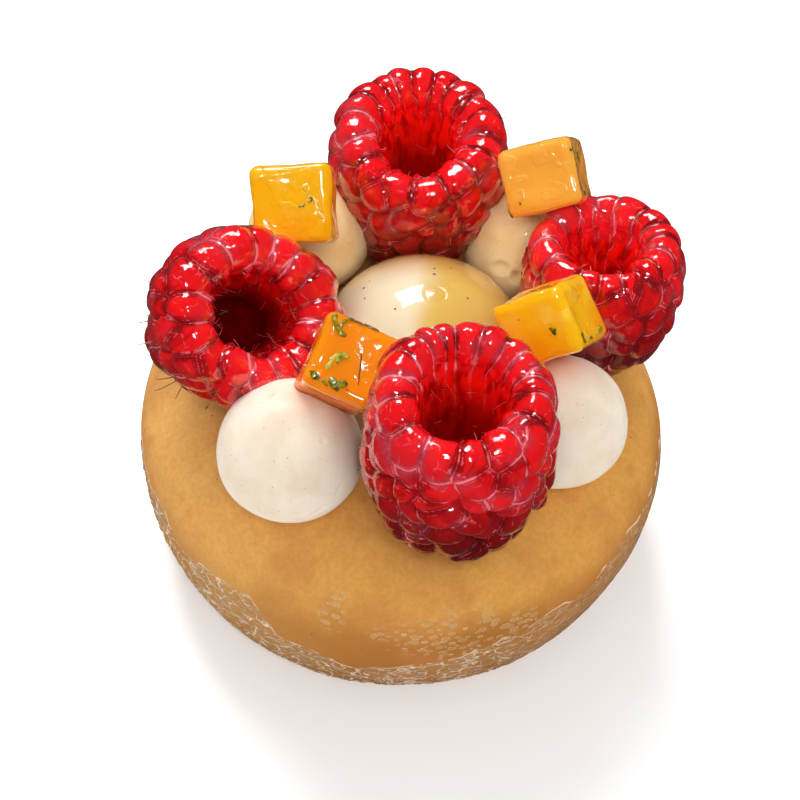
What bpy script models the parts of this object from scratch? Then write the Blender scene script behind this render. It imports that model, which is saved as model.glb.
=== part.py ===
"""A small round caramel cheesecake, topped with raspberries, piped cream, mango cubes and a dome.

The cake stands on its flat base with the origin at the middle of that base, +Z up and the side
that is eaten from first, with one raspberry in the middle of it, towards -Y. Sizes are in metres.
"""

import math
import random
from collections import namedtuple

import bmesh
import bpy
from mathutils import Matrix, Vector

MM = 0.001
CLEARANCE = 0.3 * MM  # between pieces that touch

# Cake: a turned body, widest a little above half its height
CAKE_RADIUS = 33.8 * MM
CAKE_EQUATOR = 16.4 * MM  # height of the widest place
CAKE_HEIGHT = 29.5 * MM
CAKE_TOP_REACH = 19.0 * MM  # from the widest place inwards to the flat top
CAKE_UNDER_REACH = 14.1 * MM  # half axes of the ellipse that the side follows under the widest place
CAKE_UNDER_DEPTH = 21.5 * MM
CAKE_SEGMENTS = 56
CAKE_SIDE_STEPS = 5
CAKE_TOP_STEPS = 7

# Dome: a cast half ball in the middle of the ring of toppings
DOME_RADIUS = 13.3 * MM
DOME_PLACE = (2.2 * MM, 0.2 * MM)
DOME_SEGMENTS = 28
DOME_STEPS = 7

# Raspberries: the tip points down, the hollow end up. Lean is from the vertical, towards an azimuth
# that is counted from +X towards +Y. The long radius lies along the azimuth given by turn.
Raspberry = namedtuple("Raspberry", "name tip lean azimuth turn length long short around seed")
RASPBERRIES = (
    Raspberry("raspberry_front", (6.7, -22.9, 28.4), 0, 0, 0, 27.6, 11.6, 11.4, 13, 3),
    Raspberry("raspberry_right", (23.2, 2.2, 28.7), 14, 90, 0, 21.3, 10.5, 10.3, 12, 5),
    Raspberry("raspberry_back", (0.0, 22.2, 28.7), 0, 0, 0, 21.8, 11.6, 11.4, 13, 8),
    Raspberry("raspberry_left", (-24.0, 0.9, 30.9), 32, -56, 0, 21.0, 12.5, 10.9, 12, 13),
)
WIDEST = 0.72  # share of the length, from the tip, where a raspberry is widest
ROUNDNESS = 2.5  # 2 is an ellipse, more is a blunter tip
SWELL = 0.225  # how far a drupelet stands out, as a share of the radius there
RIM_START = 0.83  # share of the length where the outline starts to bend over the rim
RIM_SPACING = 4.4 * MM  # from the drupelets on the rim to the row under them
RIM_REACH = 3.6 * MM  # from the crest to the ends of those drupelets in the hollow
RIM_TALL = 0.85  # their height on the crest, over the tallest drupelets'
LOBE_ALONG = (0.92, 1.05, 0.86, 0.25)  # their height in steps from the valley under them to their ends
LOBE_ACROSS = (1.0, 0.90, 0.44, 0.90)  # and across: middle, shoulder, valley, shoulder
HOLLOW_MOUTH = 5.5 * MM  # radii of the cup's hollow at the rim and at its floor
HOLLOW_FLOOR = 3.2 * MM
HOLLOW_DEPTH = 0.62  # share of the length
ROW_SPACING = 0.86  # between rows of drupelets, as a share of a drupelet's width
SMALLEST_ROW = 3.4 * MM  # radius of the last row before the tip
SMALLEST_TALL = 0.45  # height of the drupelets there, over the tallest
TIP_FLAT = 0.4 * MM  # how far the middle of the tip stays above the outline's end
TIP_SPACING = 0.8  # from the last row to the tip's middle, over the spacing above it
DRUPELET_SIZES = (0.93, 1.07)  # heights from the smallest to the largest
ASIDE = 0.10  # how far a drupelet's top is off its middle, in half widths
WOBBLE = 0.05  # how uneven the valleys are, as a share of the row spacing
OUTLINE_STEPS = 60  # points of the fine outline that the drupelets are placed on
EDGE_HEIGHT = 0.50  # height of the skin between two drupelets, and where three meet, over their tops
CORNER_HEIGHT = 0.36
SHOULDER = 0.58  # place and height of the ring of points round a drupelet's top
SHOULDER_HEIGHT = 0.88
BERRY_ROOM = 0.7 * MM  # kept free round a raspberry's outline, as drupelets differ in size
CUTTER_TOP = 0.80  # radius of that room at the rim, over the raspberry's
CUTTER_STEPS = 12
CUTTER_SEGMENTS = 24

# Mango cubes: middle, turn about X, Y and Z in degrees, and edges
Cube = namedtuple("Cube", "name middle turns edges")
CUBES = (
    Cube("mango_front_left", (-7.0, -14.6, 46.4), (31, 8, -20), (9.4, 9.6, 9.2)),
    Cube("mango_front_right", (16.3, -7.0, 47.9), (57, -24, 28), (9.8, 8.6, 9.2)),
    Cube("mango_back_right", (15.2, 15.5, 48.4), (45, -14, 18), (9.8, 8.8, 9.0)),
    Cube("mango_back_left", (-15.0, 8.8, 47.5), (42, -2, 7), (10.2, 10.0, 9.0)),
)
CUBE_ROUNDING = 1.0 * MM

# Cream: piped balls, narrower towards the top. Middle in plan, radius, and height over width
Cream = namedtuple("Cream", "name place radius squat")
CREAMS = (
    Cream("cream_front_left", (-13.0, -19.2), 8.8, 0.96),
    Cream("cream_front_right", (18.8, -11.8), 8.3, 0.96),
    Cream("cream_back_right", (13.6, 16.6), 7.7, 0.96),
    Cream("cream_back_left", (-13.6, 15.4), 7.9, 0.96),
)
CREAM_SINK = 0.75 * MM  # how far the soft underside is flattened by the cake
CREAM_TAPER = 0.10
CREAM_SEGMENTS = 18
CREAM_RINGS = 10


def paint(name, colour, roughness, metallic=0.0):
    """A plain surface of one colour, given as red, green and blue from 0 to 255."""
    material = bpy.data.materials.new(name)
    material.use_nodes = True
    shader = material.node_tree.nodes["Principled BSDF"]
    linear = [((c / 255 + 0.055) / 1.055) ** 2.4 for c in colour]
    shader.inputs["Base Color"].default_value = (*linear, 1.0)
    shader.inputs["Roughness"].default_value = roughness
    shader.inputs["Metallic"].default_value = metallic
    material.diffuse_color = (*linear, 1.0)
    return material


def add_object(name, bm, material=None, place=None):
    """Turn a bmesh into a named object, with its faces pointing out."""
    bmesh.ops.recalc_face_normals(bm, faces=bm.faces)
    mesh = bpy.data.meshes.new(name)
    bm.to_mesh(mesh)
    bm.free()
    mesh.shade_smooth()
    mesh.set_sharp_from_angle(angle=math.radians(50))
    if material:
        mesh.materials.append(material)
    obj = bpy.data.objects.new(name, mesh)
    if place:
        obj.matrix_world = place
    bpy.context.scene.collection.objects.link(obj)
    return obj


def turned(profile, segments):
    """Spin (radius, height) points, from one end on the axis to the other, into a closed solid."""
    bm = bmesh.new()
    verts = [bm.verts.new((radius, 0, height)) for radius, height in profile]
    edges = [bm.edges.new(pair) for pair in zip(verts, verts[1:])]
    bmesh.ops.spin(bm, geom=verts + edges, cent=(0, 0, 0), axis=(0, 0, 1),
                   angle=math.tau, steps=segments, use_merge=True, use_duplicate=False)
    bmesh.ops.remove_doubles(bm, verts=bm.verts, dist=1e-6)
    return bm


def hide(cutter):
    """Mark a solid that only cuts others."""
    cutter.hide_render = True
    cutter.display_type = "WIRE"
    return cutter


def subtract(target, cutters):
    """Take each cutter's shape out of the target."""
    for cutter in cutters:
        modifier = target.modifiers.new("cut by " + cutter.name, "BOOLEAN")
        modifier.operation = "DIFFERENCE"
        modifier.solver = "EXACT"
        modifier.object = cutter


def cake_profile(swell=0.0):
    """The cake's outline from the middle of its top to the middle of its base."""
    points = [(0.0, CAKE_HEIGHT + swell)]
    for step in range(CAKE_TOP_STEPS):
        angle = math.radians(90) * (1 - step / CAKE_TOP_STEPS)
        radius = CAKE_RADIUS - CAKE_TOP_REACH + (CAKE_TOP_REACH + swell) * math.cos(angle)
        height = CAKE_EQUATOR + (CAKE_HEIGHT - CAKE_EQUATOR + swell) * math.sin(angle)
        points.append((radius, height))
    lowest = math.asin(CAKE_EQUATOR / CAKE_UNDER_DEPTH)
    for step in range(CAKE_SIDE_STEPS + 1):
        angle = lowest * step / CAKE_SIDE_STEPS
        radius = CAKE_RADIUS - CAKE_UNDER_REACH + (CAKE_UNDER_REACH + swell) * math.cos(angle)
        points.append((radius, CAKE_EQUATOR - CAKE_UNDER_DEPTH * math.sin(angle)))
    points.append((0.0, points[-1][1]))
    return points


def cake_top_at(x, y):
    """The height of the cake's surface at a place in plan."""
    reach = max(0.0, math.hypot(x, y) - (CAKE_RADIUS - CAKE_TOP_REACH)) / CAKE_TOP_REACH
    return CAKE_EQUATOR + (CAKE_HEIGHT - CAKE_EQUATOR) * math.sqrt(1 - reach * reach)


def dome_profile(swell=0.0):
    """A quarter circle from the top of the dome to its edge, and back to the axis."""
    radius = DOME_RADIUS + swell
    points = []
    for step in range(DOME_STEPS + 1):
        angle = math.radians(90) * (1 - step / DOME_STEPS)
        points.append((radius * math.cos(angle), radius * math.sin(angle)))
    return points + [(radius, -swell), (0.0, -swell)]


def outline(share):
    """How wide a raspberry is at a share of its length from the tip, as a share of its radius."""
    return math.sqrt(max(0.0, 1 - abs(1 - share / WIDEST) ** ROUNDNESS))


def berry_place(berry):
    """From a raspberry's own frame, tip at the origin and hollow towards +Z, to its place."""
    turn = math.radians(berry.turn)
    azimuth = math.radians(berry.azimuth)
    lean = Matrix.Rotation(azimuth, 4, "Z") @ Matrix.Rotation(math.radians(berry.lean), 4, "Y")
    return Matrix.Translation(Vector(berry.tip) * MM) @ lean @ Matrix.Rotation(turn - azimuth, 4, "Z")


def cup_outline(berry):
    """Fine (radius, height) outline of the cup under the drupelets, from its tip to its floor."""
    length = berry.length * MM
    radius = berry.short * MM
    points = []
    for step in range(OUTLINE_STEPS + 1):
        share = RIM_START * (step / OUTLINE_STEPS) ** 2
        wide = outline(share) * radius
        points.append((wide * (1 - SWELL), share * length + SWELL * radius * (1 - outline(share))))
    side, start = points[-1]
    half = (side - HOLLOW_MOUTH) / 2
    rise = length * (1 - RIM_START) - RIM_TALL * SWELL * radius
    for step in range(1, OUTLINE_STEPS // 2 + 1):
        angle = math.pi * step / (OUTLINE_STEPS // 2)
        points.append((side - half * (1 - math.cos(angle)), start + rise * math.sin(angle)))
    floor = length * (1 - HOLLOW_DEPTH)
    for step in range(1, OUTLINE_STEPS // 2 + 1):
        share = step / (OUTLINE_STEPS // 2)
        across = HOLLOW_MOUTH + (HOLLOW_FLOOR - HOLLOW_MOUTH) * share
        points.append((across, start + (floor - start) * share))
    points.append((0.0, floor))
    return points


def lengths_along(points):
    """The distance from the first point to each point, along the outline."""
    total = 0.0
    found = [0.0]
    for (r0, z0), (r1, z1) in zip(points, points[1:]):
        total += math.hypot(r1 - r0, z1 - z0)
        found.append(total)
    return found


def read_outline(points, lengths, distance):
    """Radius, height and outward direction of the outline at a distance along it."""
    place = 1
    while place < len(points) - 1 and lengths[place] < distance:
        place += 1
    (r0, z0), (r1, z1) = points[place - 1], points[place]
    step = lengths[place] - lengths[place - 1]
    share = min(1.0, max(0.0, (distance - lengths[place - 1]) / step))
    out = ((z1 - z0) / step, (r0 - r1) / step)
    return r0 + (r1 - r0) * share, z0 + (z1 - z0) * share, out


def drupelet_rows(berry, points, lengths):
    """Distances along the outline of each row of drupelets, from the rim down."""
    crest = lengths[max(range(len(points)), key=lambda i: points[i][1])]
    rows = [crest, crest - RIM_SPACING]
    while True:
        radius = read_outline(points, lengths, rows[-1])[0]
        distance = rows[-1] - ROW_SPACING * math.tau * (radius + 0.5 * MM) / berry.around
        if read_outline(points, lengths, distance)[0] < SMALLEST_ROW:
            return rows
        rows.append(distance)


class Skin:
    """Places points on a raspberry by half steps around it and distance along its outline."""

    def __init__(self, berry):
        self.bm = bmesh.new()
        self.berry = berry
        self.rng = random.Random(berry.seed)
        self.points = cup_outline(berry)
        self.lengths = lengths_along(self.points)
        self.rows = drupelet_rows(berry, self.points, self.lengths)
        self.around = 2 * berry.around

    def place(self, half_step, distance, height):
        """A point at a height over the cup, counted in drupelet heights."""
        radius, level, out = read_outline(self.points, self.lengths, distance)
        full = self.berry.short * MM
        wide = min(full, max(radius / (1 - SWELL), SMALLEST_TALL * full))
        tall = SWELL * wide * height
        angle = math.pi * half_step / self.berry.around
        across = radius + tall * out[0]
        return Vector((across * math.cos(angle), across * math.sin(angle), level + tall * out[1]))

    def vert(self, half_step, distance, height):
        return self.bm.verts.new(self.place(half_step, distance, height))

    def between_rows(self, upper, lower, parity):
        """The zigzag valley between two rows: corners at whole half steps, edges between them."""
        line = []
        for step in range(self.around):
            share = 2 / 3 if step % 2 == parity else 1 / 3
            wobble = WOBBLE * self.rng.uniform(-1, 1)
            corner = upper + (lower - upper) * (share + wobble)
            line.append(self.vert(step, corner, CORNER_HEIGHT))
            line.append(self.vert(step + 0.5, 0.5 * (upper + lower), EDGE_HEIGHT))
        return line

    def fan(self, middle, line):
        """Close a ring of points over a middle."""
        for i in range(len(line)):
            self.bm.faces.new((middle, line[i - 1], line[i]))

    def band(self, lower, upper):
        """Join two rings of as many points."""
        for i in range(len(lower)):
            self.bm.faces.new((lower[i - 1], lower[i], upper[i], upper[i - 1]))

    def rim(self, below):
        """The drupelets that bend from the valley under them over the rim into the hollow."""
        swells = [self.rng.uniform(*DRUPELET_SIZES) for _ in range(self.berry.around)]
        end = self.rows[0] + RIM_REACH
        for number, along in enumerate(LOBE_ALONG, 1):
            line = []
            for point in range(len(below)):
                share = (2 / 3, 1 / 2, 1 / 3, 1 / 2)[point % 4]
                start = self.rows[0] - RIM_SPACING * share
                height = along * LOBE_ACROSS[point % 4]
                if point % 4 != 2:
                    height *= swells[(point + 2) // 4 % len(swells)]
                distance = start + (end - start) * number / len(LOBE_ALONG)
                line.append(self.vert(point / 2, distance, height))
            self.band(below, line)
            below = line
        return below

    def hollow(self, mouth):
        """A plain wall from the rim down to the floor."""
        start = self.rows[0] + RIM_REACH
        end = self.lengths[-2]
        wall = None
        for share in (1 / 3, 2 / 3, 1):
            lower = [self.vert(step, start + (end - start) * share, 0) for step in range(self.around)]
            if wall:
                self.band(wall, lower)
            else:
                for i in range(self.around):
                    rim = (mouth[2 * i - 2], mouth[2 * i - 1], mouth[2 * i])
                    self.bm.faces.new((*rim, lower[i], lower[i - 1]))
            wall = lower
        self.fan(self.bm.verts.new((0, 0, self.points[-1][1])), wall)

    def row(self, parity, distance, above, below):
        """One ring of drupelets between the valleys above and below it."""
        centres = range(parity, self.around, 2)
        sides = {(centre + 1) % self.around: self.vert(centre + 1, distance, EDGE_HEIGHT)
                 for centre in centres}
        for centre in centres:
            left = sides[(centre - 1) % self.around]
            right = sides[(centre + 1) % self.around]
            self.drupelet(centre, distance, above, below, left, right)

    def drupelet(self, centre, distance, above, below, left, right):
        """Raise one drupelet inside the twelve valley points round it."""
        count = len(above)
        first = 2 * centre
        ring = [above[first % count], above[(first + 1) % count], above[(first + 2) % count], right]
        ring += [below[(first + 2 - i) % count] for i in range(5)]
        ring += [left, above[(first - 2) % count], above[(first - 1) % count]]
        swell = self.rng.uniform(*DRUPELET_SIZES)
        aside = ASIDE * self.rng.uniform(-1, 1)
        top = self.vert(centre + aside, distance, swell)
        shoulder = []
        for corner in ring[::2]:
            point = top.co.lerp(corner.co, SHOULDER)
            lift = self.place(centre, distance, SHOULDER_HEIGHT * swell)
            flat = self.place(centre, distance, 1 + SHOULDER * (CORNER_HEIGHT - 1))
            shoulder.append(self.bm.verts.new(point + (lift - flat)))
        for i in range(6):
            here, ahead = shoulder[i], shoulder[(i + 1) % 6]
            edge, corner = ring[2 * i + 1], ring[(2 * i + 2) % 12]
            self.bm.faces.new((top, here, ahead))
            self.bm.faces.new((here, edge, ahead))
            self.bm.faces.new((here, ring[2 * i], edge))
            self.bm.faces.new((ahead, edge, corner))


def raspberry_skin(berry):
    """The whole closed skin, from the hollow's floor over the rim and down to the tip."""
    skin = Skin(berry)
    rows = skin.rows
    above = skin.between_rows(rows[0], rows[1], 0)
    skin.hollow(skin.rim(above))
    for number, distance in enumerate(rows[1:], 1):
        if number + 1 < len(rows):
            below_row = rows[number + 1]
        else:
            below_row = distance - TIP_SPACING * (rows[number - 1] - distance)
        below = skin.between_rows(distance, below_row, number % 2)
        skin.row(number % 2, distance, above, below)
        above = below
    tip = skin.bm.verts.new((0, 0, TIP_FLAT))
    skin.fan(tip, above)
    return skin.bm


def stretch(berry):
    """Makes a round raspberry as oval as it should be."""
    return Matrix.Scale(berry.long / berry.short, 4, (1, 0, 0))


def make_raspberry(berry, material):
    """One raspberry: a cup whose skin is raised into drupelets."""
    bm = raspberry_skin(berry)
    bmesh.ops.transform(bm, matrix=stretch(berry), verts=bm.verts)
    return add_object(berry.name, bm, material, berry_place(berry))


def berry_cutter(berry):
    """The raspberry's plain outline with the clearance round it."""
    length = berry.length * MM
    points = [(0.0, -CLEARANCE)]
    for step in range(1, CUTTER_STEPS):
        share = step / CUTTER_STEPS
        points.append((outline(share) * berry.short * MM + BERRY_ROOM, share * length))
    points.append((CUTTER_TOP * berry.short * MM, length + CLEARANCE))
    points.append((0.0, length + CLEARANCE))
    bm = turned(points, CUTTER_SEGMENTS)
    bmesh.ops.transform(bm, matrix=stretch(berry), verts=bm.verts)
    return hide(add_object(berry.name + " cutter", bm, place=berry_place(berry)))


def cube_mesh(cube, swell):
    """A cut cube of fruit with its edges rounded, or the same with a clearance round it."""
    bm = bmesh.new()
    bmesh.ops.create_cube(bm, size=1.0)
    edges = [edge * MM + 2 * swell for edge in cube.edges]
    bmesh.ops.scale(bm, vec=edges, verts=bm.verts)
    bmesh.ops.bevel(bm, geom=list(bm.edges), offset=CUBE_ROUNDING, offset_type="OFFSET",
                    segments=2, profile=0.5, affect="EDGES", material=-1, clamp_overlap=True)
    return bm


def cube_place(cube):
    """Turn about Z, then Y, then X, and move to the middle."""
    x, y, z = (math.radians(a) for a in cube.turns)
    turn = Matrix.Rotation(x, 4, "X") @ Matrix.Rotation(y, 4, "Y") @ Matrix.Rotation(z, 4, "Z")
    return Matrix.Translation(Vector(cube.middle) * MM) @ turn


def cream_middle(cream):
    """A ball's middle, low enough for the cake to flatten its underside a little."""
    x, y = (c * MM for c in cream.place)
    return Vector((x, y, cake_top_at(x, y) + cream.radius * cream.squat * MM - CREAM_SINK))


def make_cream(cream, material, cutters):
    """A piped ball, narrower towards the top, dented by what it touches."""
    bm = bmesh.new()
    bmesh.ops.create_uvsphere(bm, u_segments=CREAM_SEGMENTS, v_segments=CREAM_RINGS,
                              radius=cream.radius * MM)
    for vert in bm.verts:
        narrow = 1 - CREAM_TAPER * vert.co.z / (cream.radius * MM)
        vert.co.x *= narrow
        vert.co.y *= narrow
        vert.co.z *= cream.squat
    ball = add_object(cream.name, bm, material, Matrix.Translation(cream_middle(cream)))
    subtract(ball, cutters)
    return ball


def main():
    for obj in list(bpy.data.objects):
        bpy.data.objects.remove(obj, do_unlink=True)
    caramel = paint("caramel glaze", (203, 145, 80), 0.45)
    ivory = paint("glazed white chocolate", (240, 214, 160), 0.15)
    berry_red = paint("raspberry", (190, 8, 24), 0.25)
    mango = paint("mango", (248, 160, 28), 0.25)
    piped = paint("whipped cream", (238, 224, 208), 0.55)

    add_object("cheesecake", turned(cake_profile(), CAKE_SEGMENTS), caramel)
    dome_base = CAKE_HEIGHT + CLEARANCE
    dome_place = Matrix.Translation((*DOME_PLACE, dome_base))
    add_object("dome", turned(dome_profile(), DOME_SEGMENTS), ivory, dome_place)

    cutters = [hide(add_object("cake cutter", turned(cake_profile(CLEARANCE), CAKE_SEGMENTS))),
               hide(add_object("dome cutter", turned(dome_profile(CLEARANCE), DOME_SEGMENTS),
                               place=dome_place))]
    for berry in RASPBERRIES:
        make_raspberry(berry, berry_red)
        cutters.append(berry_cutter(berry))
    berry_cutters = cutters[2:]
    for cube in CUBES:
        block = add_object(cube.name, cube_mesh(cube, 0.0), mango, cube_place(cube))
        subtract(block, berry_cutters)
        cutters.append(hide(add_object(cube.name + " cutter", cube_mesh(cube, CLEARANCE),
                                       place=cube_place(cube))))
    for cream in CREAMS:
        make_cream(cream, piped, cutters)


main()
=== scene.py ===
# %% [markdown]
# # A small caramel cheesecake with raspberries, mango, cream and a dome
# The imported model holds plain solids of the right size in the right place. This lesson dresses
# them: each solid is replaced by a finer shape with the surface of the real food, then a floor, a
# camera and soft light show it. All lengths are in metres, and MM turns millimetres into them.

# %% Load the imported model
import math
import random
from collections import namedtuple

import bmesh
import bpy
import numpy as np
from mathutils import Matrix, Vector, noise
from mathutils.bvhtree import BVHTree


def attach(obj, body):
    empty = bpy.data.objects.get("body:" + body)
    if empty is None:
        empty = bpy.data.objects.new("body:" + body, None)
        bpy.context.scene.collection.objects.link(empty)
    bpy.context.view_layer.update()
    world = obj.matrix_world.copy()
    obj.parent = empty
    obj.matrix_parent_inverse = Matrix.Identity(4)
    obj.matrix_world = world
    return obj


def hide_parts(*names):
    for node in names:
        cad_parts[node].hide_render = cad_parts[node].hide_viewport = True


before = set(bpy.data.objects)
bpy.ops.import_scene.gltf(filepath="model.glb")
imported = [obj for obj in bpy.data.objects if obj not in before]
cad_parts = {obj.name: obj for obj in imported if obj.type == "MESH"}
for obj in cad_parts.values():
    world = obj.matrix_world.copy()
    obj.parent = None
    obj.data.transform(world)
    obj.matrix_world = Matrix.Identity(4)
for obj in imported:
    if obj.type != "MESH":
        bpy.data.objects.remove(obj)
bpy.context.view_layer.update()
MM = 0.001
print("nodes:", ", ".join(sorted(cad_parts)))

# %% [markdown]
# ## Small helpers
# Colours are written as the hex values that a paint program shows and turned to linear light.
# A Shading adds nodes to a shader tree: what it is given is a value to set or a socket to link,
# and a table says which inputs, settings and output of each kind of node are meant.
# Another helper turns a bmesh into a finished piece that belongs to the cake.


# %% Colours and shader nodes
def linear(hex_colour):
    """An sRGB hex colour as linear red, green, blue and alpha."""
    values = [int(hex_colour[i:i + 2], 16) / 255 for i in (1, 3, 5)]
    return (*[v / 12.92 if v <= 0.04045 else ((v + 0.055) / 1.055) ** 2.4 for v in values], 1.0)


USUAL = {
    # kind of node: inputs in the order in which their values are given, settings, output
    "Attribute": ((), {}, "Fac"),
    "Bump": (("Height", "Distance", "Normal"), {}, 0),
    "LightPath": ((), {}, "Is Glossy Ray"),
    "MapRange": (range(5), {"interpolation_type": "SMOOTHSTEP"}, 0),
    "Mapping": (("Vector", "Scale"), {}, 0),
    "Math": ((0, 1), {"operation": "MULTIPLY"}, 0),
    "Mix": ((0, 6, 7), {"data_type": "RGBA"}, 2),
    "SeparateColor": ((0,), {}, "Red"),
    "SeparateXYZ": ((0,), {}, "Z"),
    "TexCoord": ((), {}, "Object"),
    "TexNoise": (("Vector", "Scale", "Detail", "Roughness"), {}, "Fac"),
    "TexVoronoi": (("Vector", "Scale"), {}, "Distance"),
    "VectorMath": ((0, 1), {"operation": "MULTIPLY"}, 0),
}


class Shading:
    """The shader tree of a material or world, with one way to add nodes and some patterns."""

    def __init__(self, owner, shader="Principled BSDF", **inputs):
        owner.use_nodes = True
        self.owner, self.tree = owner, owner.node_tree
        self.shader = self.tree.nodes[shader]
        self.feed(**inputs)

    def put(self, node, inputs):
        for name, value in inputs.items():
            if isinstance(value, bpy.types.NodeSocket):
                self.tree.links.new(value, node.inputs[name])
            else:
                value = linear(value) if isinstance(value, str) else value
                node.inputs[name].default_value = value

    def feed(self, **inputs):
        """Set or link inputs of the shader, with _ for each space in a name."""
        self.put(self.shader, {name.replace("_", " "): value for name, value in inputs.items()})

    def add(self, kind, *values, **settings):
        """Add a node with its inputs and settings, and give back the output that is used."""
        inputs, usual, output = USUAL[kind]
        made = self.tree.nodes.new("ShaderNode" + kind)
        for name, value in {**usual, **settings}.items():
            setattr(made, name, value)
        self.put(made, dict(zip(inputs, values)))
        return made.outputs[output]

    def times(self, first, *others):
        for other in others:
            first = self.add("Math", first, other)
        return first

    def layer(self, below, *layers):
        """Lay colours over one another, each as strong as its factor."""
        for factor, colour in layers:
            below = self.add("Mix", factor, below, colour)
        return below

    def grain(self, size, detail=2.0, stretch=(1, 1, 1)):
        """Noise from 0 to 1 whose lumps have a size in metres, stretched along some axes."""
        place = self.add("Mapping", self.add("TexCoord"), [1 / s for s in stretch])
        return self.add("TexNoise", place, 1 / size, detail, 0.55)

    def bent(self, place, size, reach):
        """Coordinates that wander, so that a pattern on them has bent lines."""
        wander = self.add("TexNoise", place, 1 / size).node.outputs["Color"]
        wander = self.add("VectorMath", wander, (reach,) * 3)
        return self.add("VectorMath", place, wander, operation="ADD")

    def cells(self, place, size):
        """A pattern of cells: how far their middles are, and a number drawn for each."""
        away = self.add("TexVoronoi", place, 1 / size)
        return away, self.add("SeparateColor", away.node.outputs["Color"])


def start_surface(name, **inputs):
    return Shading(bpy.data.materials.new(name), **inputs)


# %% Objects and finished pieces
def add_object(name, data):
    thing = bpy.data.objects.new(name, data)
    bpy.context.scene.collection.objects.link(thing)
    return thing


def finish_piece(name, bm, surface, replaced=()):
    """Close a bmesh's seams, turn it into a smooth piece of the cake and hide the parts it
    replaces.
    """
    bmesh.ops.remove_doubles(bm, verts=bm.verts, dist=1e-7)
    bmesh.ops.recalc_face_normals(bm, faces=bm.faces)
    mesh = bpy.data.meshes.new(name)
    bm.to_mesh(mesh)
    bm.free()
    mesh.shade_smooth()
    mesh.materials.append(surface.owner)
    piece = add_object(name, mesh)
    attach(piece, "root")
    if replaced:
        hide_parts(*replaced)
    print(f"{name}: {sum(len(p.vertices) - 2 for p in mesh.polygons)} triangles")
    return piece


SECTORS = 10  # one tenth is spun and then copied, which is much faster than a full spin


def revolve(profile, segments):
    """Spin (radius, height) points round Z into a closed surface."""
    bm = bmesh.new()
    verts = [bm.verts.new((radius, 0, height)) for radius, height in profile]
    edges = [bm.edges.new(pair) for pair in zip(verts, verts[1:])]
    bmesh.ops.spin(bm, geom=verts + edges, cent=(0, 0, 0), axis=(0, 0, 1),
                   angle=math.tau / SECTORS, steps=segments // SECTORS, use_duplicate=False)
    sector = [*bm.verts, *bm.edges, *bm.faces]
    for number in range(1, SECTORS):
        made = bmesh.ops.duplicate(bm, geom=sector)["geom"]
        bmesh.ops.rotate(bm, cent=(0, 0, 0),
                         matrix=Matrix.Rotation(math.tau * number / SECTORS, 3, "Z"),
                         verts=[g for g in made if isinstance(g, bmesh.types.BMVert)])
    bmesh.ops.remove_doubles(bm, verts=bm.verts, dist=1e-7)
    bmesh.ops.recalc_face_normals(bm, faces=bm.faces)
    bm.normal_update()
    return bm


THREAD_SIDES = 6
EDGE_TONE = 0.25  # how much lower the tone is at a thread's edges


def grow_threads(lines):
    """A bmesh of closed threads; a line is (points, half widths, flatness, side, tone)."""
    bm = bmesh.new()
    tones = bm.verts.layers.float.new("tone")
    for points, widths, flatness, side, tone in lines:
        ring = bmesh.ops.create_circle(bm, cap_ends=True, segments=THREAD_SIDES,
                                       radius=1.0)["verts"]
        cap = ring[0].link_faces[0]
        for step, (point, width) in enumerate(zip(points, widths)):
            if step:
                out = bmesh.ops.extrude_face_region(bm, geom=[cap])["geom"]
                ring = [g for g in out if isinstance(g, bmesh.types.BMVert)]
                cap = [g for g in out if isinstance(g, bmesh.types.BMFace)][0]
            ahead = points[min(step + 1, len(points) - 1)] - points[max(step - 1, 0)]
            ahead.normalize()
            across = ahead.cross(side).normalized()
            thin = across.cross(ahead)
            for number, vert in enumerate(ring):
                turn = math.tau * number / len(ring)
                vert.co = point + width * (across * math.cos(turn)
                                           + thin * flatness * math.sin(turn))
                vert[tones] = tone - EDGE_TONE * math.cos(turn) ** 2
    return bm


def turned(degrees, axis):
    return Matrix.Rotation(math.radians(degrees), 4, axis)


def gather(items, key, size=1, kind=float):
    """The values of all items of a mesh as an array."""
    values = np.empty(len(items) * size, dtype=kind)
    items.foreach_get(key, values)
    return values


def lumps(point, size):
    """Soft noise from -1 to 1 with lumps of a size in metres."""
    return noise.noise(point / size)


def waves(point, sizes):
    """Soft noise of several heights and sizes in mm, added up."""
    return sum(height * lumps(point, size * MM) for height, size in sizes)


def grade(values, start, reach):
    """From 0 at the start of a reach to 1 at its end, for arrays."""
    return np.clip((values - start) / reach, 0, 1)


def between(value, low, high):
    """A smooth step from 0 at low to 1 at high."""
    share = min(1.0, max(0.0, (value - low) / (high - low)))
    return share * share * (3 - 2 * share)


# %% [markdown]
# ## Camera and light
# The photo looks down at the cake from about 52 degrees with a long lens, turned a little. The
# glint on the dome shows where the light stands: behind the cake, high up and a little to the
# left, as large as a window at arm's length. White surroundings fill the shadows, so the world is
# white too and the floor is plain and pale.

# %% Camera
LOOK_AT = Vector((-0.48, 1.49, 20.0)) * MM
ELEVATION = math.radians(52.06)
ROLL = math.radians(4.29)
DISTANCE = 300 * MM
LENS = 104.94  # for a sensor 36 mm wide

forward = Vector((0, math.cos(ELEVATION), -math.sin(ELEVATION)))
across = Vector((1, 0, 0))
level_up = across.cross(forward)
right = across * math.cos(ROLL) + level_up * math.sin(ROLL)
up = level_up * math.cos(ROLL) - across * math.sin(ROLL)
camera = add_object("camera", bpy.data.cameras.new("camera"))
camera.data.lens = LENS
camera.data.sensor_width = 36
camera.data.clip_start = 0.01
camera.matrix_world = (Matrix.Translation(LOOK_AT - forward * DISTANCE)
                       @ Matrix((right, up, -forward)).transposed().to_4x4())
bpy.context.scene.camera = camera
print("camera at", [round(c, 3) for c in camera.matrix_world.translation])

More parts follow.
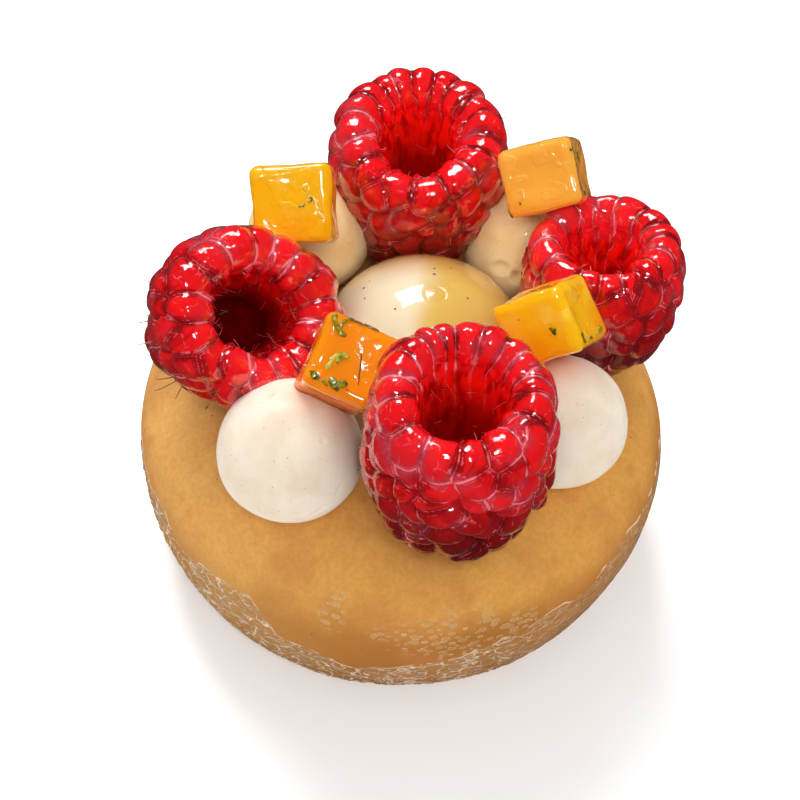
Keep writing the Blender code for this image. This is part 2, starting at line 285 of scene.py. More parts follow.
# %% Light
KEY_DIRECTION = Vector((-0.21, 0.56, 0.80)).normalized()
FRONT_DIRECTION = Vector((0.06, -0.52, 0.85)).normalized()
LIGHT_DISTANCE = 0.9
KEY_SIZE = (0.40, 0.32)
FRONT_SIZE = (0.13, 0.10)
KEY_POWER, FRONT_POWER = 3.3, 1.3
# seen in reflections alone, so that the glaze sparkles without hard shadows
KEY_GLINT_POWER, FRONT_GLINT_POWER = 60, 8
SKY_HIGH, SKY_LOW = 0.86, 0.62
SKY_IN_GLAZE = 0.07  # a dim room in reflections keeps the glaze's colours deep


def add_light(name, direction, size, power, glossy_only=False):
    """A soft rectangular light that shines at the cake's middle."""
    data = bpy.data.lights.new(name, "AREA")
    data.shape = "RECTANGLE"
    data.size, data.size_y = size
    data.energy = power
    light = add_object(name, data)
    light.location = LOOK_AT + direction * LIGHT_DISTANCE
    light.rotation_euler = direction.to_track_quat("Z", "Y").to_euler()
    light.visible_diffuse = not glossy_only


add_light("key light", KEY_DIRECTION, KEY_SIZE, KEY_POWER)
add_light("key glint", KEY_DIRECTION, KEY_SIZE, KEY_GLINT_POWER, glossy_only=True)
add_light("front light", FRONT_DIRECTION, FRONT_SIZE, FRONT_POWER)
add_light("front glint", FRONT_DIRECTION, FRONT_SIZE, FRONT_GLINT_POWER, glossy_only=True)

bpy.context.scene.world = bpy.data.worlds.new("white surroundings")
s = Shading(bpy.context.scene.world, "Background", Color=(1, 1, 1, 1))
height = s.add("SeparateXYZ", s.add("TexCoord").node.outputs["Generated"])
mirrored = s.add("LightPath")
s.feed(Strength=s.times(s.add("MapRange", height, 0.0, 0.9, SKY_LOW, SKY_HIGH),
                        s.add("MapRange", mirrored, 0.0, 1.0, 1.0, SKY_IN_GLAZE)))
bpy.context.scene.view_settings.view_transform = "Standard"

# %% Floor
FLOOR_SIZE = 3.0
# smooth acrylic lit from within: plain, even white that still takes a soft shadow
floor_paint = start_surface("lit white acrylic", Roughness=0.6, Base_Color=linear("#d6d5d5"),
                            Emission_Color=linear("#fffdfb"), Emission_Strength=0.3)
bm = bmesh.new()
bmesh.ops.create_grid(bm, x_segments=1, y_segments=1, size=FLOOR_SIZE / 2)
floor = add_object("floor", bpy.data.meshes.new("floor"))
bm.to_mesh(floor.data)
bm.free()
floor.data.materials.append(floor_paint.owner)
floor.visible_glossy = False

# %% [markdown]
# ## The cake's body
# The real body was set in a round mould, so it is a turned shape with soft, slightly uneven walls.
# A film clings to its foot in glossy wrinkles, and under the shoulder at the front it has a patch
# of tiny blisters. The body is spun from a fine outline, then its points are moved along their
# normals. The places of film and blisters are kept on the points for the material to read.

# %% Shape of the cake
CAKE_RADIUS = 33.8 * MM
CAKE_EQUATOR = 16.4 * MM
CAKE_HEIGHT = 29.5 * MM
CAKE_TOP_REACH = 19.0 * MM
CAKE_UNDER_REACH = 14.1 * MM
CAKE_UNDER_DEPTH = 21.5 * MM
CAKE_SEGMENTS, CAKE_STEPS, TOP_STEPS = 480, 56, 20
SKIN_DEPTH = 0.15 * MM  # the uneven skin stays this far inside the outline
SKIN_WAVES = ((0.16 * MM, 14), (0.05 * MM, 4))
FOLD_HEIGHT, FOLD_DIP, FOLD_SIZE = 0.30 * MM, 0.10 * MM, 3.0 * MM
FOLD_SQUASH = 2.4  # folds are wider than tall
FOLD_SHARPNESS = 3.0
SMOOTH_FILM = (-66, -50)  # azimuths between which the film gets smoother


def cake_outline(steps):
    """(radius, height) from the middle of the top to the middle of the base."""
    points = [((CAKE_RADIUS - CAKE_TOP_REACH) * i / TOP_STEPS, CAKE_HEIGHT)
              for i in range(TOP_STEPS)]
    for step in range(steps):
        angle = math.radians(90) * (1 - step / steps)
        points.append((CAKE_RADIUS - CAKE_TOP_REACH + CAKE_TOP_REACH * math.cos(angle),
                       CAKE_EQUATOR + (CAKE_HEIGHT - CAKE_EQUATOR) * math.sin(angle)))
    lowest = math.asin(CAKE_EQUATOR / CAKE_UNDER_DEPTH)
    for step in range(steps + 1):
        angle = lowest * step / steps
        points.append((CAKE_RADIUS - CAKE_UNDER_REACH * (1 - math.cos(angle)),
                       CAKE_EQUATOR - CAKE_UNDER_DEPTH * math.sin(angle)))
    base = points.pop()[0]
    return points + [(base * share, 0.0) for share in (1, 0.6, 0.2, 0.0)]


FILM_EDGE = (
    # azimuth and the height in mm up to which the film reaches there
    (-270, 12), (-185, 17), (-150, 18.5), (-140, 15.5), (-128, 17.8), (-120, 17.4), (-113, 12.6),
    (-104, 12.3), (-97, 10.2), (-86, 11.4), (-72, 13.6), (-55, 16.8), (-44, 17.0), (-33, 19.2),
    (-10, 19.5), (10, 17), (90, 12))
BLISTERS = (
    # azimuth and height of the middle of each patch, its half width in degrees and half height
    (-77, 17.5, 13, 5.0), (-64, 17.0, 9, 3.6), (-102, 20.5, 3.6, 3.2), (-88, 19.0, 6, 1.6))


def film_edge(azimuth, point):
    """How many millimetres a point lies under the film's upper edge."""
    top = float(np.interp(azimuth, *zip(*FILM_EDGE)))
    return top + 1.2 * lumps(point, 5 * MM) + 0.5 * lumps(point, 1.7 * MM) - point.z / MM


def blisters_on(azimuth, point):
    """How strong the blisters are at a place."""
    strongest = 0.0
    for middle, level, wide, tall in BLISTERS:
        away = math.hypot((azimuth - middle) / wide, (point.z / MM - level) / tall)
        strongest = max(strongest, 1 - between(away + 0.5 * lumps(point, 4 * MM), 0.65, 1.05))
    return strongest


bm = revolve(cake_outline(CAKE_STEPS), CAKE_SEGMENTS)
edge_layer = bm.verts.layers.float.new("film_edge")
blister_layer = bm.verts.layers.float.new("blisters")
for vert in bm.verts:
    point = vert.co.copy()
    azimuth = math.degrees(math.atan2(point.y, point.x))
    azimuth = azimuth - 360 if azimuth > 90 else azimuth
    edge = film_edge(azimuth, point)
    film = between(edge, 0.0, 1.2)
    flat = Vector((point.x, point.y, FOLD_SQUASH * point.z))
    fold = max(0.0, 1 - abs(lumps(flat, FOLD_SIZE)) * FOLD_SHARPNESS) ** 2
    wrinkled = film * (1 - 0.8 * between(azimuth, *SMOOTH_FILM))
    wrinkle = wrinkled * (FOLD_HEIGHT * fold - FOLD_DIP)
    if point.z > 0.01 * MM:
        vert.co += vert.normal * (waves(point, SKIN_WAVES) + wrinkle - SKIN_DEPTH)
        vert.co.z = max(0.0, vert.co.z)
    vert[edge_layer] = max(-3.0, min(3.0, edge))
    vert[blister_layer] = blisters_on(azimuth, point)

# %% [markdown]
# The caramel glaze is a matt, slightly see-through jelly over a pale cake: warm tan, with faint
# mottling, pin-prick pits and dark specks. It is painted lighter and yellower over the shoulder and
# on the left as painted light, and darker towards the foot as painted shade.
# The film is clear and wet, so it is greyer, glossier and has pale lines along its folds and its
# broken upper edge. The blisters are small raised islands of a paler tone.


# %% Caramel glaze
def make_caramel():
    # a set jelly is matt and even, so its colours show more than its highlights
    s = start_surface("set caramel glaze", Roughness=0.6, IOR=1.45, Specular_IOR_Level=0.02,
                      Coat_Roughness=0.08)
    place = s.add("TexCoord")
    x, _, z = s.add("SeparateXYZ", place).node.outputs
    edge = s.add("Attribute", attribute_name="film_edge")
    blisters = s.add("Attribute", attribute_name="blisters")
    film = s.add("MapRange", edge, -0.1, 0.35)
    wander = s.times(s.grain(13 * MM), 9 * MM)
    height = s.add("Math", z, s.add("Math", wander, 4.5 * MM, operation="SUBTRACT"),
                   operation="ADD")
    # painted light and shade: brown towards the foot as painted shade, golden over the shoulder as
    # a painted highlight band, tan on top
    body = s.layer(
        s.add("Mix", s.add("MapRange", height, 2 * MM, 14 * MM), "#8e5826", "#b27434"),
        (s.add("MapRange", height, 16.5 * MM, 23 * MM), "#e2a452"),
        (s.add("MapRange", height, 25 * MM, 28.5 * MM), "#e6a055"),
        # painted light: lighter on the left, the side the key light comes from
        (s.add("MapRange", x, 2 * MM, -28 * MM, 0.0, 0.38), "#ecb870"),
        (s.add("MapRange", s.grain(10 * MM), 0.42, 0.66, 0, 0.5), "#c67f48"),
        (s.add("MapRange", s.grain(3 * MM, 4), 0.45, 0.8, 0, 0.3), "#bf7a36"),
        (s.add("MapRange", s.grain(0.6 * MM), 0.35, 0.65, 0, 0.14), "#9c6428"),
        # painted shade: darker where toppings touch it and shade it
        (s.add("MapRange", s.add("Attribute", attribute_name="near"), 0.45, 1.0, 0.0, 0.7),
         "#5a3212"))
    # dark specks: a small spot in some cells of a pattern
    away, drawn = s.cells(place, 1.8 * MM)
    speck = s.add("Math", away, s.add("MapRange", drawn, 0.45, 1.0, 0.0, 0.07),
                  operation="LESS_THAN")
    # folds of the film: pale lines between bent cells that are wide and low, in two sizes
    flat = s.bent(s.add("Mapping", place, (1, 1, 2.3)), 2.6 * MM, 2.0 * MM)
    crests = []
    for size, width, start in ((3.6 * MM, 0.055, 0.28), (1.9 * MM, 0.075, 0.44)):
        broken = s.add("MapRange", s.grain(0.6 * size), start, start + 0.12)
        border = s.add("TexVoronoi", flat, 1 / size, feature="DISTANCE_TO_EDGE")
        crests.append(s.times(s.add("MapRange", border, 0.0, width, 1.0, 0.0), broken))
    crest = s.times(s.add("Math", *crests, operation="MAXIMUM"), film,
                    s.add("MapRange", x, 12 * MM, 20 * MM, 1.0, 0.35))
    lip = s.add("Math", edge, 0.0, operation="ABSOLUTE")
    lip = s.times(s.add("MapRange", lip, 0.03, 0.20, 1.0, 0.0),
                  s.add("MapRange", s.grain(3 * MM), 0.46, 0.54))
    crest = s.add("Math", crest, lip, operation="MAXIMUM")
    # blisters: separate raised islands, wider than tall and paler than the skin between them
    away, drawn = s.cells(s.add("Mapping", place, (1, 1, 1.5)), 1.2 * MM)
    away = s.add("Math", away, s.add("MapRange", drawn, 0, 1, 0.7, 1.15), operation="DIVIDE")
    island = s.times(s.add("MapRange", away, 0.34, 0.50, 1.0, 0.0), blisters)
    # the pale ring round each island is a painted highlight
    rim = s.times(s.add("MapRange", away, 0.32, 0.40), s.add("MapRange", away, 0.42, 0.50, 1, 0))
    body = s.layer(
        body,
        (s.times(speck, 0.8), "#65370f"),
        (s.times(film, s.add("MapRange", s.grain(2 * MM), 0.3, 0.7, 0.12, 0.50)), "#c09662"),
        (s.add("MapRange", z, 0.2 * MM, 1.6 * MM, 0.5, 0.0), "#e4c6a4"),
        (s.times(crest, 0.90), "#fbe6cc"),
        (s.times(island, 0.25), "#e8bf86"),
        (s.times(rim, blisters, 0.45), "#f2d6a8"))
    # relief: fine pores, blisters, folds
    relief = s.add("Bump", s.grain(0.35 * MM, 3), 0.02 * MM)
    relief = s.add("Bump", crest, 0.12 * MM, s.add("Bump", island, 0.13 * MM, relief))
    s.feed(Base_Color=body, Normal=relief, Coat_Normal=relief,
           Coat_Weight=s.add("Math", s.times(film, 0.5), s.times(blisters, 0.35),
                             operation="MAXIMUM"))
    return s


cake = finish_piece("cake_body", bm, make_caramel(), ["cheesecake"])

# %% [markdown]
# ## The dome
# A half ball of set white chocolate cream under clear glaze. It was cast in a mould with a small
# vent, so its top has a tiny nipple in a shallow ring. It is ivory on one side and yellower where
# the glaze is thick, and vanilla seeds show as dark specks.

# %% Shape of the dome
DOME_RADIUS = 13.5 * MM
DOME_MIDDLE = Vector((1.9 * MM, 0.3 * MM, CAKE_HEIGHT + 0.3 * MM))
DOME_STEPS, DOME_SEGMENTS = 90, 220
NIPPLE = Vector((0.9, -0.3, 0)) * MM  # from the dome's axis
NIPPLE_HEIGHT, NIPPLE_WIDTH = 0.15, 0.30
RING_DEPTH, RING_RADIUS, RING_WIDTH = 0.11, 1.15, 0.28
DOME_UNEVEN = 0.07


def dome_outline(steps):
    """A quarter circle from the top down to the edge, and back to the axis."""
    turns = [math.radians(90) * i / steps for i in range(steps + 1)]
    points = [(DOME_RADIUS * math.sin(turn), DOME_RADIUS * math.cos(turn)) for turn in turns]
    return points + [(DOME_RADIUS * share, 0.0) for share in (0.98, 0.7, 0.3, 0.0)]


bm = revolve(dome_outline(DOME_STEPS), DOME_SEGMENTS)
for vert in bm.verts:
    if vert.co.z > 0.01 * MM:
        away = (vert.co.xy - NIPPLE.xy).length / MM
        vent = (NIPPLE_HEIGHT * math.exp(-(away / NIPPLE_WIDTH) ** 2)
                - RING_DEPTH * math.exp(-((away - RING_RADIUS) / RING_WIDTH) ** 2))
        uneven = DOME_UNEVEN * lumps(vert.co, 7 * MM) - DOME_UNEVEN
        vert.co += vert.normal * (vent + uneven) * MM
bmesh.ops.translate(bm, vec=DOME_MIDDLE, verts=bm.verts)


# %% Glazed white chocolate
def make_dome_glaze():
    # the glaze is as smooth as glass, so its glint has sharp edges
    s = start_surface("glazed white chocolate", Roughness=0.03, IOR=1.5, Subsurface_Weight=0.35,
                      Subsurface_Radius=(1.0, 0.7, 0.35), Subsurface_Scale=2.5 * MM,
                      Specular_IOR_Level=0.8, Coat_Weight=0.9, Coat_Roughness=0.0)
    x, y, z = s.add("SeparateXYZ", s.add("TexCoord")).node.outputs
    across = s.add("Math", x, s.times(s.grain(9 * MM), 5 * MM), operation="ADD")
    tone = s.layer(
        s.add("Mix", s.add("MapRange", across, 2.4 * MM, 6 * MM), "#f0e6c4", "#e0bc60"),
        # painted shade: darker towards the back, where the dome meets the back raspberry
        (s.add("MapRange", y, 1 * MM, 9 * MM, 0.0, 0.85), "#c89850"),
        (s.add("MapRange", z, 31 * MM, 37 * MM, 0.6, 0.0), "#cda25c"))
    waves = s.add("Bump", s.grain(2.4 * MM), 0.05 * MM)
    s.feed(Base_Color=tone, Normal=waves, Coat_Normal=waves)
    return s


dome = finish_piece("dome_glazed", bm, make_dome_glaze(), ["dome"])

# %% [markdown]
# ## Raspberries
# A picked raspberry is a cup of many juicy drupelets round an empty hollow. Each drupelet is a
# small balloon pressed by its neighbours, so their skins meet in sharp creases. Here a smooth cup
# is spun first. Then each of its points is lifted to the highest of the balloons around it, which
# makes the creases by itself. Counts and sizes are uneven, and the drupelets on the rim are long
# and bend over into the hollow.

# %% The cup
Berry = namedtuple("Berry", "tip lean azimuth length long radius around brim mouth drop towards "
                            "wider glow narrow fullness")
BERRIES = {
    # tip in mm, lean and its azimuth, length, long and short radius in mm, drupelets round the
    # rim, then: radii of the crest and of the hollow in mm, how far the rim is lower on one side
    # and towards where, how much wider the drupelets are there, how much the hollow's wall glows,
    # how much narrower the berry gets towards its rim, and how full its lower part is
    "raspberry_front": Berry((6.6, -22.9, 28.4), 0, 0, 27.6, 11.7, 11.3, 17,
                             7.9, 6.1, 3.0, -85, 0.12, 0.8, 0.07, 3.0),
    "raspberry_right": Berry((23.0, 2.4, 29.2), 14, 90, 20.7, 10.2, 10.0, 15,
                             7.3, 5.5, 2.0, -105, -0.20, 1.0, 0.05, 2.4),
    "raspberry_back": Berry((-0.5, 22.2, 28.7), 0, 0, 21.7, 11.7, 11.5, 17,
                            8.1, 6.0, 2.8, -90, 0.25, 1.0, 0.02, 3.3),
    "raspberry_left": Berry((-23.5, 0.7, 30.9), 32, -56, 20.8, 12.3, 10.8, 16,
                            7.4, 5.6, 2.7, -30, -0.10, 0.0, 0.02, 2.5),
}
WIDEST = 0.72  # share of the length where a berry is widest
SWELL = 0.19  # how far a drupelet stands out, as a share of the radius
RIM_START = 0.83
RIM_TALL = 0.85
RIM_INSIDE = 1.7 * MM  # height of the slope from the crest into the hollow
HOLLOW_FLOOR = 3.2 * MM
HOLLOW_DEPTH = 0.62
BERRY_SEGMENTS = 300
# points of the outline up the side, over the rim, down its inside, down the wall, on the floor
SIDE_STEPS, RIM_STEPS, LIP_STEPS, WALL_STEPS, FLOOR_STEPS = 112, 22, 30, 36, 8
TIP_CROWDING = 1.6  # how much closer the points are near the tip


def quarter(steps):
    """Cosines and sines of the angles from 0 to 90 degrees, without the first."""
    turns = [math.radians(90) * step / steps for step in range(1, steps + 1)]
    return [(math.cos(turn), math.sin(turn)) for turn in turns]


def cup_outline(berry):
    """(radius, height) of the cup under the drupelets, from its tip over the rim to its floor."""
    length, radius, brim, mouth = (
        size * MM for size in (berry.length, berry.radius, berry.brim, berry.mouth))
    points = []
    for step in range(SIDE_STEPS + 1):
        share = RIM_START * (step / SIDE_STEPS) ** TIP_CROWDING
        wide = math.sqrt(max(0.0, 1 - abs(1 - share / WIDEST) ** berry.fullness))
        points.append((wide * radius * (1 - SWELL), share * length + SWELL * radius * (1 - wide)))
    side, start = points[-1]
    rise = length * (1 - RIM_START) - RIM_TALL * SWELL * radius
    points += [(side - (side - brim) * (1 - c), start + rise * n) for c, n in quarter(RIM_STEPS)]
    crest = len(points) - 1
    points += [(brim - (brim - mouth) * n, start + rise - RIM_INSIDE * (1 - c))
               for c, n in quarter(LIP_STEPS)]
    wall, floor_height = points[-1][1], length * (1 - HOLLOW_DEPTH)
    points += [(mouth + (HOLLOW_FLOOR - mouth) * share, wall + (floor_height - wall) * share)
               for share in (step / WALL_STEPS for step in range(1, WALL_STEPS + 1))]
    points += [(HOLLOW_FLOOR * c, floor_height - 0.5 * HOLLOW_FLOOR * n)
               for c, n in quarter(FLOOR_STEPS)]
    points[0] = (0.0, points[0][1])
    points[-1] = (0.0, points[-1][1])
    return np.array(points), crest


def berry_place(berry):
    """From a raspberry's own frame, tip at the origin and hollow towards +Z, to its place."""
    turn = turned(berry.azimuth, "Z") @ turned(berry.lean, "Y")
    return (Matrix.Translation(Vector(berry.tip) * MM) @ turn @ turned(-berry.azimuth, "Z")
            @ Matrix.Scale(berry.long / berry.radius, 4, (1, 0, 0)))


# %% The drupelets
DRUPELET_WIDTH = 4.3 * MM
RIM_SPACING = 3.1 * MM
ROW_SPACING = 0.80
COVER = 0.70  # a balloon's half width over the spacing, so that balloons always meet
LOBE_OUT = 2.8 * MM  # how far the drupelets on the rim reach outside and inside
LOBE_IN = 4.4 * MM
EXTRA_LOBES = 0.55  # share of the gaps between them that hold a small one, further in
RIDGE = 0.32  # height of the ridges that they leave inside the hollow
RIDGE_REACH = (3 * MM, 13 * MM)
FLATNESS = 2.5  # a balloon pressed from all sides has a flatter top and steeper sides
STEEPNESS = 0.48
TINY_ROW = 2.2 * MM
SWAY_SIZE, SWAY_TURN, SWAY_REACH = 4.0 * MM, 0.12, 0.7 * MM  # makes the creases wander
LEAST_SWELL = 0.18  # over the cup outside, as a share of a drupelet's height
ROUGH_SIZE, ROUGH_SKIN, ROUGH_HOLLOW = 1.6 * MM, 0.07, 0.25
DRUPELET = np.dtype([(key, float) for key in (
    "angle", "place", "half", "outside", "inside", "tall", "lean", "tip", "rim", "tint")])


def lay_drupelets(berry, points, along, crest, rng):
    """Angle, place along the outline, half widths, height and lean of each drupelet."""
    radius, around, towards = berry.radius * MM, berry.around, math.radians(berry.towards)
    found = []

    def lay(angle, place, half, outside, inside, tall, rim=0.0):
        found.append((angle, place, half, outside, inside, tall, rng.uniform(-0.2, 0.2),
                      rng.uniform(-0.14, 0.14) - 0.14 * (rim == 0), rim, rng.random()))

    shares = [rng.uniform(0.80, 1.22)
              * (1 + berry.wider * math.cos(math.tau * i / around - towards))
              for i in range(around)]
    angle = 0.0
    for share in shares:
        width = math.tau * share / sum(shares)
        reach = rng.uniform(0.90, 1.12)
        lay(angle + width / 2, along[crest] + rng.uniform(-1.7, 0.7) * MM, COVER * width,
            LOBE_OUT * reach, LOBE_IN * rng.uniform(0.85, 1.1),
            0.84 * SWELL * radius * rng.uniform(0.86, 1.06), 1.0)
        if rng.random() < EXTRA_LOBES:
            lay(angle, along[crest] + rng.uniform(1.0, 3.2) * MM, 0.30 * width, 1.7 * MM,
                1.9 * MM, 0.62 * SWELL * radius)
        angle += width
    place = along[crest] - RIM_SPACING
    stagger = 0.5
    while place > along[2]:
        base = np.interp(place, along, points[:, 0])
        if base < TINY_ROW:
            break
        full = min(1.0, base / (radius * (1 - SWELL)) + 0.12)
        width = DRUPELET_WIDTH * (0.72 + 0.28 * full)
        count = max(5, round(math.tau * (base + SWELL * radius * full) / width))
        for i in range(count):
            size = rng.uniform(0.80, 1.20)
            lay(math.tau * (i + stagger + 0.25 * rng.uniform(-1, 1)) / count,
                place + 0.22 * width * rng.uniform(-1, 1), COVER * math.tau / count * size,
                0.64 * width * size, 0.64 * width * size,
                SWELL * radius * (0.45 + 0.55 * full) * rng.uniform(0.80, 1.08))
        stagger += 0.5 + rng.uniform(-0.15, 0.15)
        place -= ROW_SPACING * width
    lay(0.0, 0.0, math.tau, 2.4 * MM, 2.4 * MM, SWELL * radius * 0.5)
    return np.array(found, dtype=DRUPELET)


def measure_drupelets(angle, place, laid):
    """Height of each drupelet (columns) over each point (rows)."""
    heights = np.zeros((len(angle), len(laid)))
    low, high = RIDGE_REACH
    for column, one in enumerate(laid):
        turn = (angle - one["angle"] + math.pi) % math.tau - math.pi
        ahead = place - one["place"]
        reach = high if one["rim"] else one["inside"]
        near = np.flatnonzero((np.abs(turn) < one["half"]) & (ahead > -one["outside"])
                              & (ahead < reach))
        turn, ahead = turn[near] / one["half"], ahead[near]
        along = ahead / np.where(ahead > 0, one["inside"], one["outside"])
        ball = np.clip(1 - np.hypot(turn, along) ** FLATNESS, 0, None) ** STEEPNESS
        if one["rim"]:
            fade = grade(ahead, low, high - low)
            bend = np.clip(1 - along ** 2, 0, None) ** 2
            full = np.cbrt(bend ** 3 + (RIDGE * (1 - fade)) ** 3)
            ridge = full * (1 - np.abs(turn) ** FLATNESS) ** STEEPNESS
            ball = np.where(ahead > 0, ridge, ball)
        lean = 1 + one["lean"] * turn + one["tip"] * np.clip(along, -1, 1)
        heights[near, column] = one["tall"] * lean * ball
    return heights


def measure_creases(mesh, points, heights):
    """For each face's corners, the highest drupelet and how many mm the nearest crease is away."""
    corners = gather(mesh.loops, "vertex_index", kind=int)
    starts, counts = (gather(mesh.polygons, key, kind=int) for key in ("loop_start", "loop_total"))
    mean = np.add.reduceat(heights[corners], starts, axis=0)
    second, first = np.repeat(np.argpartition(mean, -2, axis=1)[:, -2:], counts, axis=0).T
    # how much higher the first is than the second, over how fast that grows
    rise = heights[corners, first] - heights[corners, second]
    following = np.arange(len(corners)) + 1
    following[starts + counts - 1] = starts
    step = np.linalg.norm(points[corners[following]] - points[corners], axis=1)
    steepness = ((rise[following] - rise) / np.maximum(step, 1e-6)) ** 2
    steepness = np.sqrt(np.repeat(np.add.reduceat(steepness, starts) / 2, counts))
    uses = np.bincount(corners, minlength=len(points))
    steepness = (np.bincount(corners, steepness, len(points)) / uses)[corners]
    crease = np.abs(rise) / np.maximum(steepness, 0.15) / MM
    crease[heights[corners, second] < 0.02 * MM] = 3
    return first, np.clip(crease, 0, 3)


def swell_berry(piece, berry, seed):
    """Lift the cup's points to the balloons and keep creases, tints and depth on the mesh."""
    radius, length = berry.radius * MM, berry.length * MM
    outline, crest = cup_outline(berry)
    along = np.concatenate([[0.0], np.cumsum(np.hypot(*np.diff(outline, axis=0).T))])
    laid = lay_drupelets(berry, outline, along, crest, random.Random(seed))
    mesh = piece.data
    points = gather(mesh.vertices, "co", 3).reshape(-1, 3)
    across = np.hypot(points[:, 0], points[:, 1])
    angle = np.arctan2(points[:, 1], points[:, 0])
    nearest = np.argmin((across[:, None] - outline[:, 0]) ** 2
                        + (points[:, 2:] - outline[:, 1]) ** 2, axis=1)
    slope = np.gradient(outline, axis=0)
    slope = (slope / np.hypot(*slope.T)[:, None])[nearest]
    place = along[nearest]
    beyond = place - along[crest]  # how far inside the rim
    shift = Vector((seed, 0, 0))
    rough, sway = (np.array([lumps(Vector(p) + shift, size) for p in points])
                   for size in (ROUGH_SIZE, SWAY_SIZE))
    heights = measure_drupelets(angle + SWAY_TURN * sway, place + SWAY_REACH * sway, laid)
    deep = grade(beyond, 3.5 * MM, 9 * MM)
    inside = grade(beyond, 0.8 * MM, 3 * MM)
    lift = np.maximum(heights.max(axis=1), LEAST_SWELL * radius * SWELL * (deep == 0))
    lift += (ROUGH_SKIN + ROUGH_HOLLOW * inside) * MM * rough
    out = np.stack([slope[:, 1] * np.cos(angle), slope[:, 1] * np.sin(angle), -slope[:, 0]], axis=1)
    points += out * lift[:, None]
    # the rim is narrower, and lower on one side
    blend = grade(points[:, 2] / length, 0.30, 0.65)
    points[:, :2] *= (1 - berry.narrow * blend ** 2)[:, None]
    facing = (1 + np.cos(angle - math.radians(berry.towards))) / 2
    points[:, 2] -= berry.drop * MM * facing ** 1.5 * blend ** 2 * (3 - 2 * blend)
    mesh.vertices.foreach_set("co", points.ravel())
    first, crease = measure_creases(mesh, points, heights)
    for key, domain, values in (("crease", "CORNER", crease),
                                ("tint", "CORNER", laid["tint"][first]),
                                ("deep", "POINT", deep),
                                ("glow", "POINT", berry.glow * inside * (1 - 0.5 * deep)),
                                ("up", "POINT", np.clip(place / along[crest], 0, 1))):
        kept = mesh.attributes.new(key, "FLOAT", domain)
        kept.data.foreach_set("value", values.astype(np.float32))
    mesh.transform(berry_place(berry))
    mesh.update()


# %% [markdown]
# Raspberry flesh is deep red and lets light through. Its glow where it is thin is painted, as
# colour and as emission, and so is a brighter red in the middle of each drupelet; darker red by the
# creases, low down and deep in the hollow is painted shade. Between the drupelets the skins fold
# into pale pink lines. A clear glaze covers everything, with beads that catch the light, and the
# hollow is dull and full of fine fibres.


# %% Glazed raspberry
def glaze_beads(s, size, share):
    """Small round beads of glaze in a share of the cells of a pattern, from 0 to 1."""
    away, drawn = s.cells(s.add("TexCoord"), size)
    return s.times(s.add("MapRange", away, 0.10, 0.34, 1.0, 0.0),
                   s.add("Math", drawn, share, operation="LESS_THAN"))


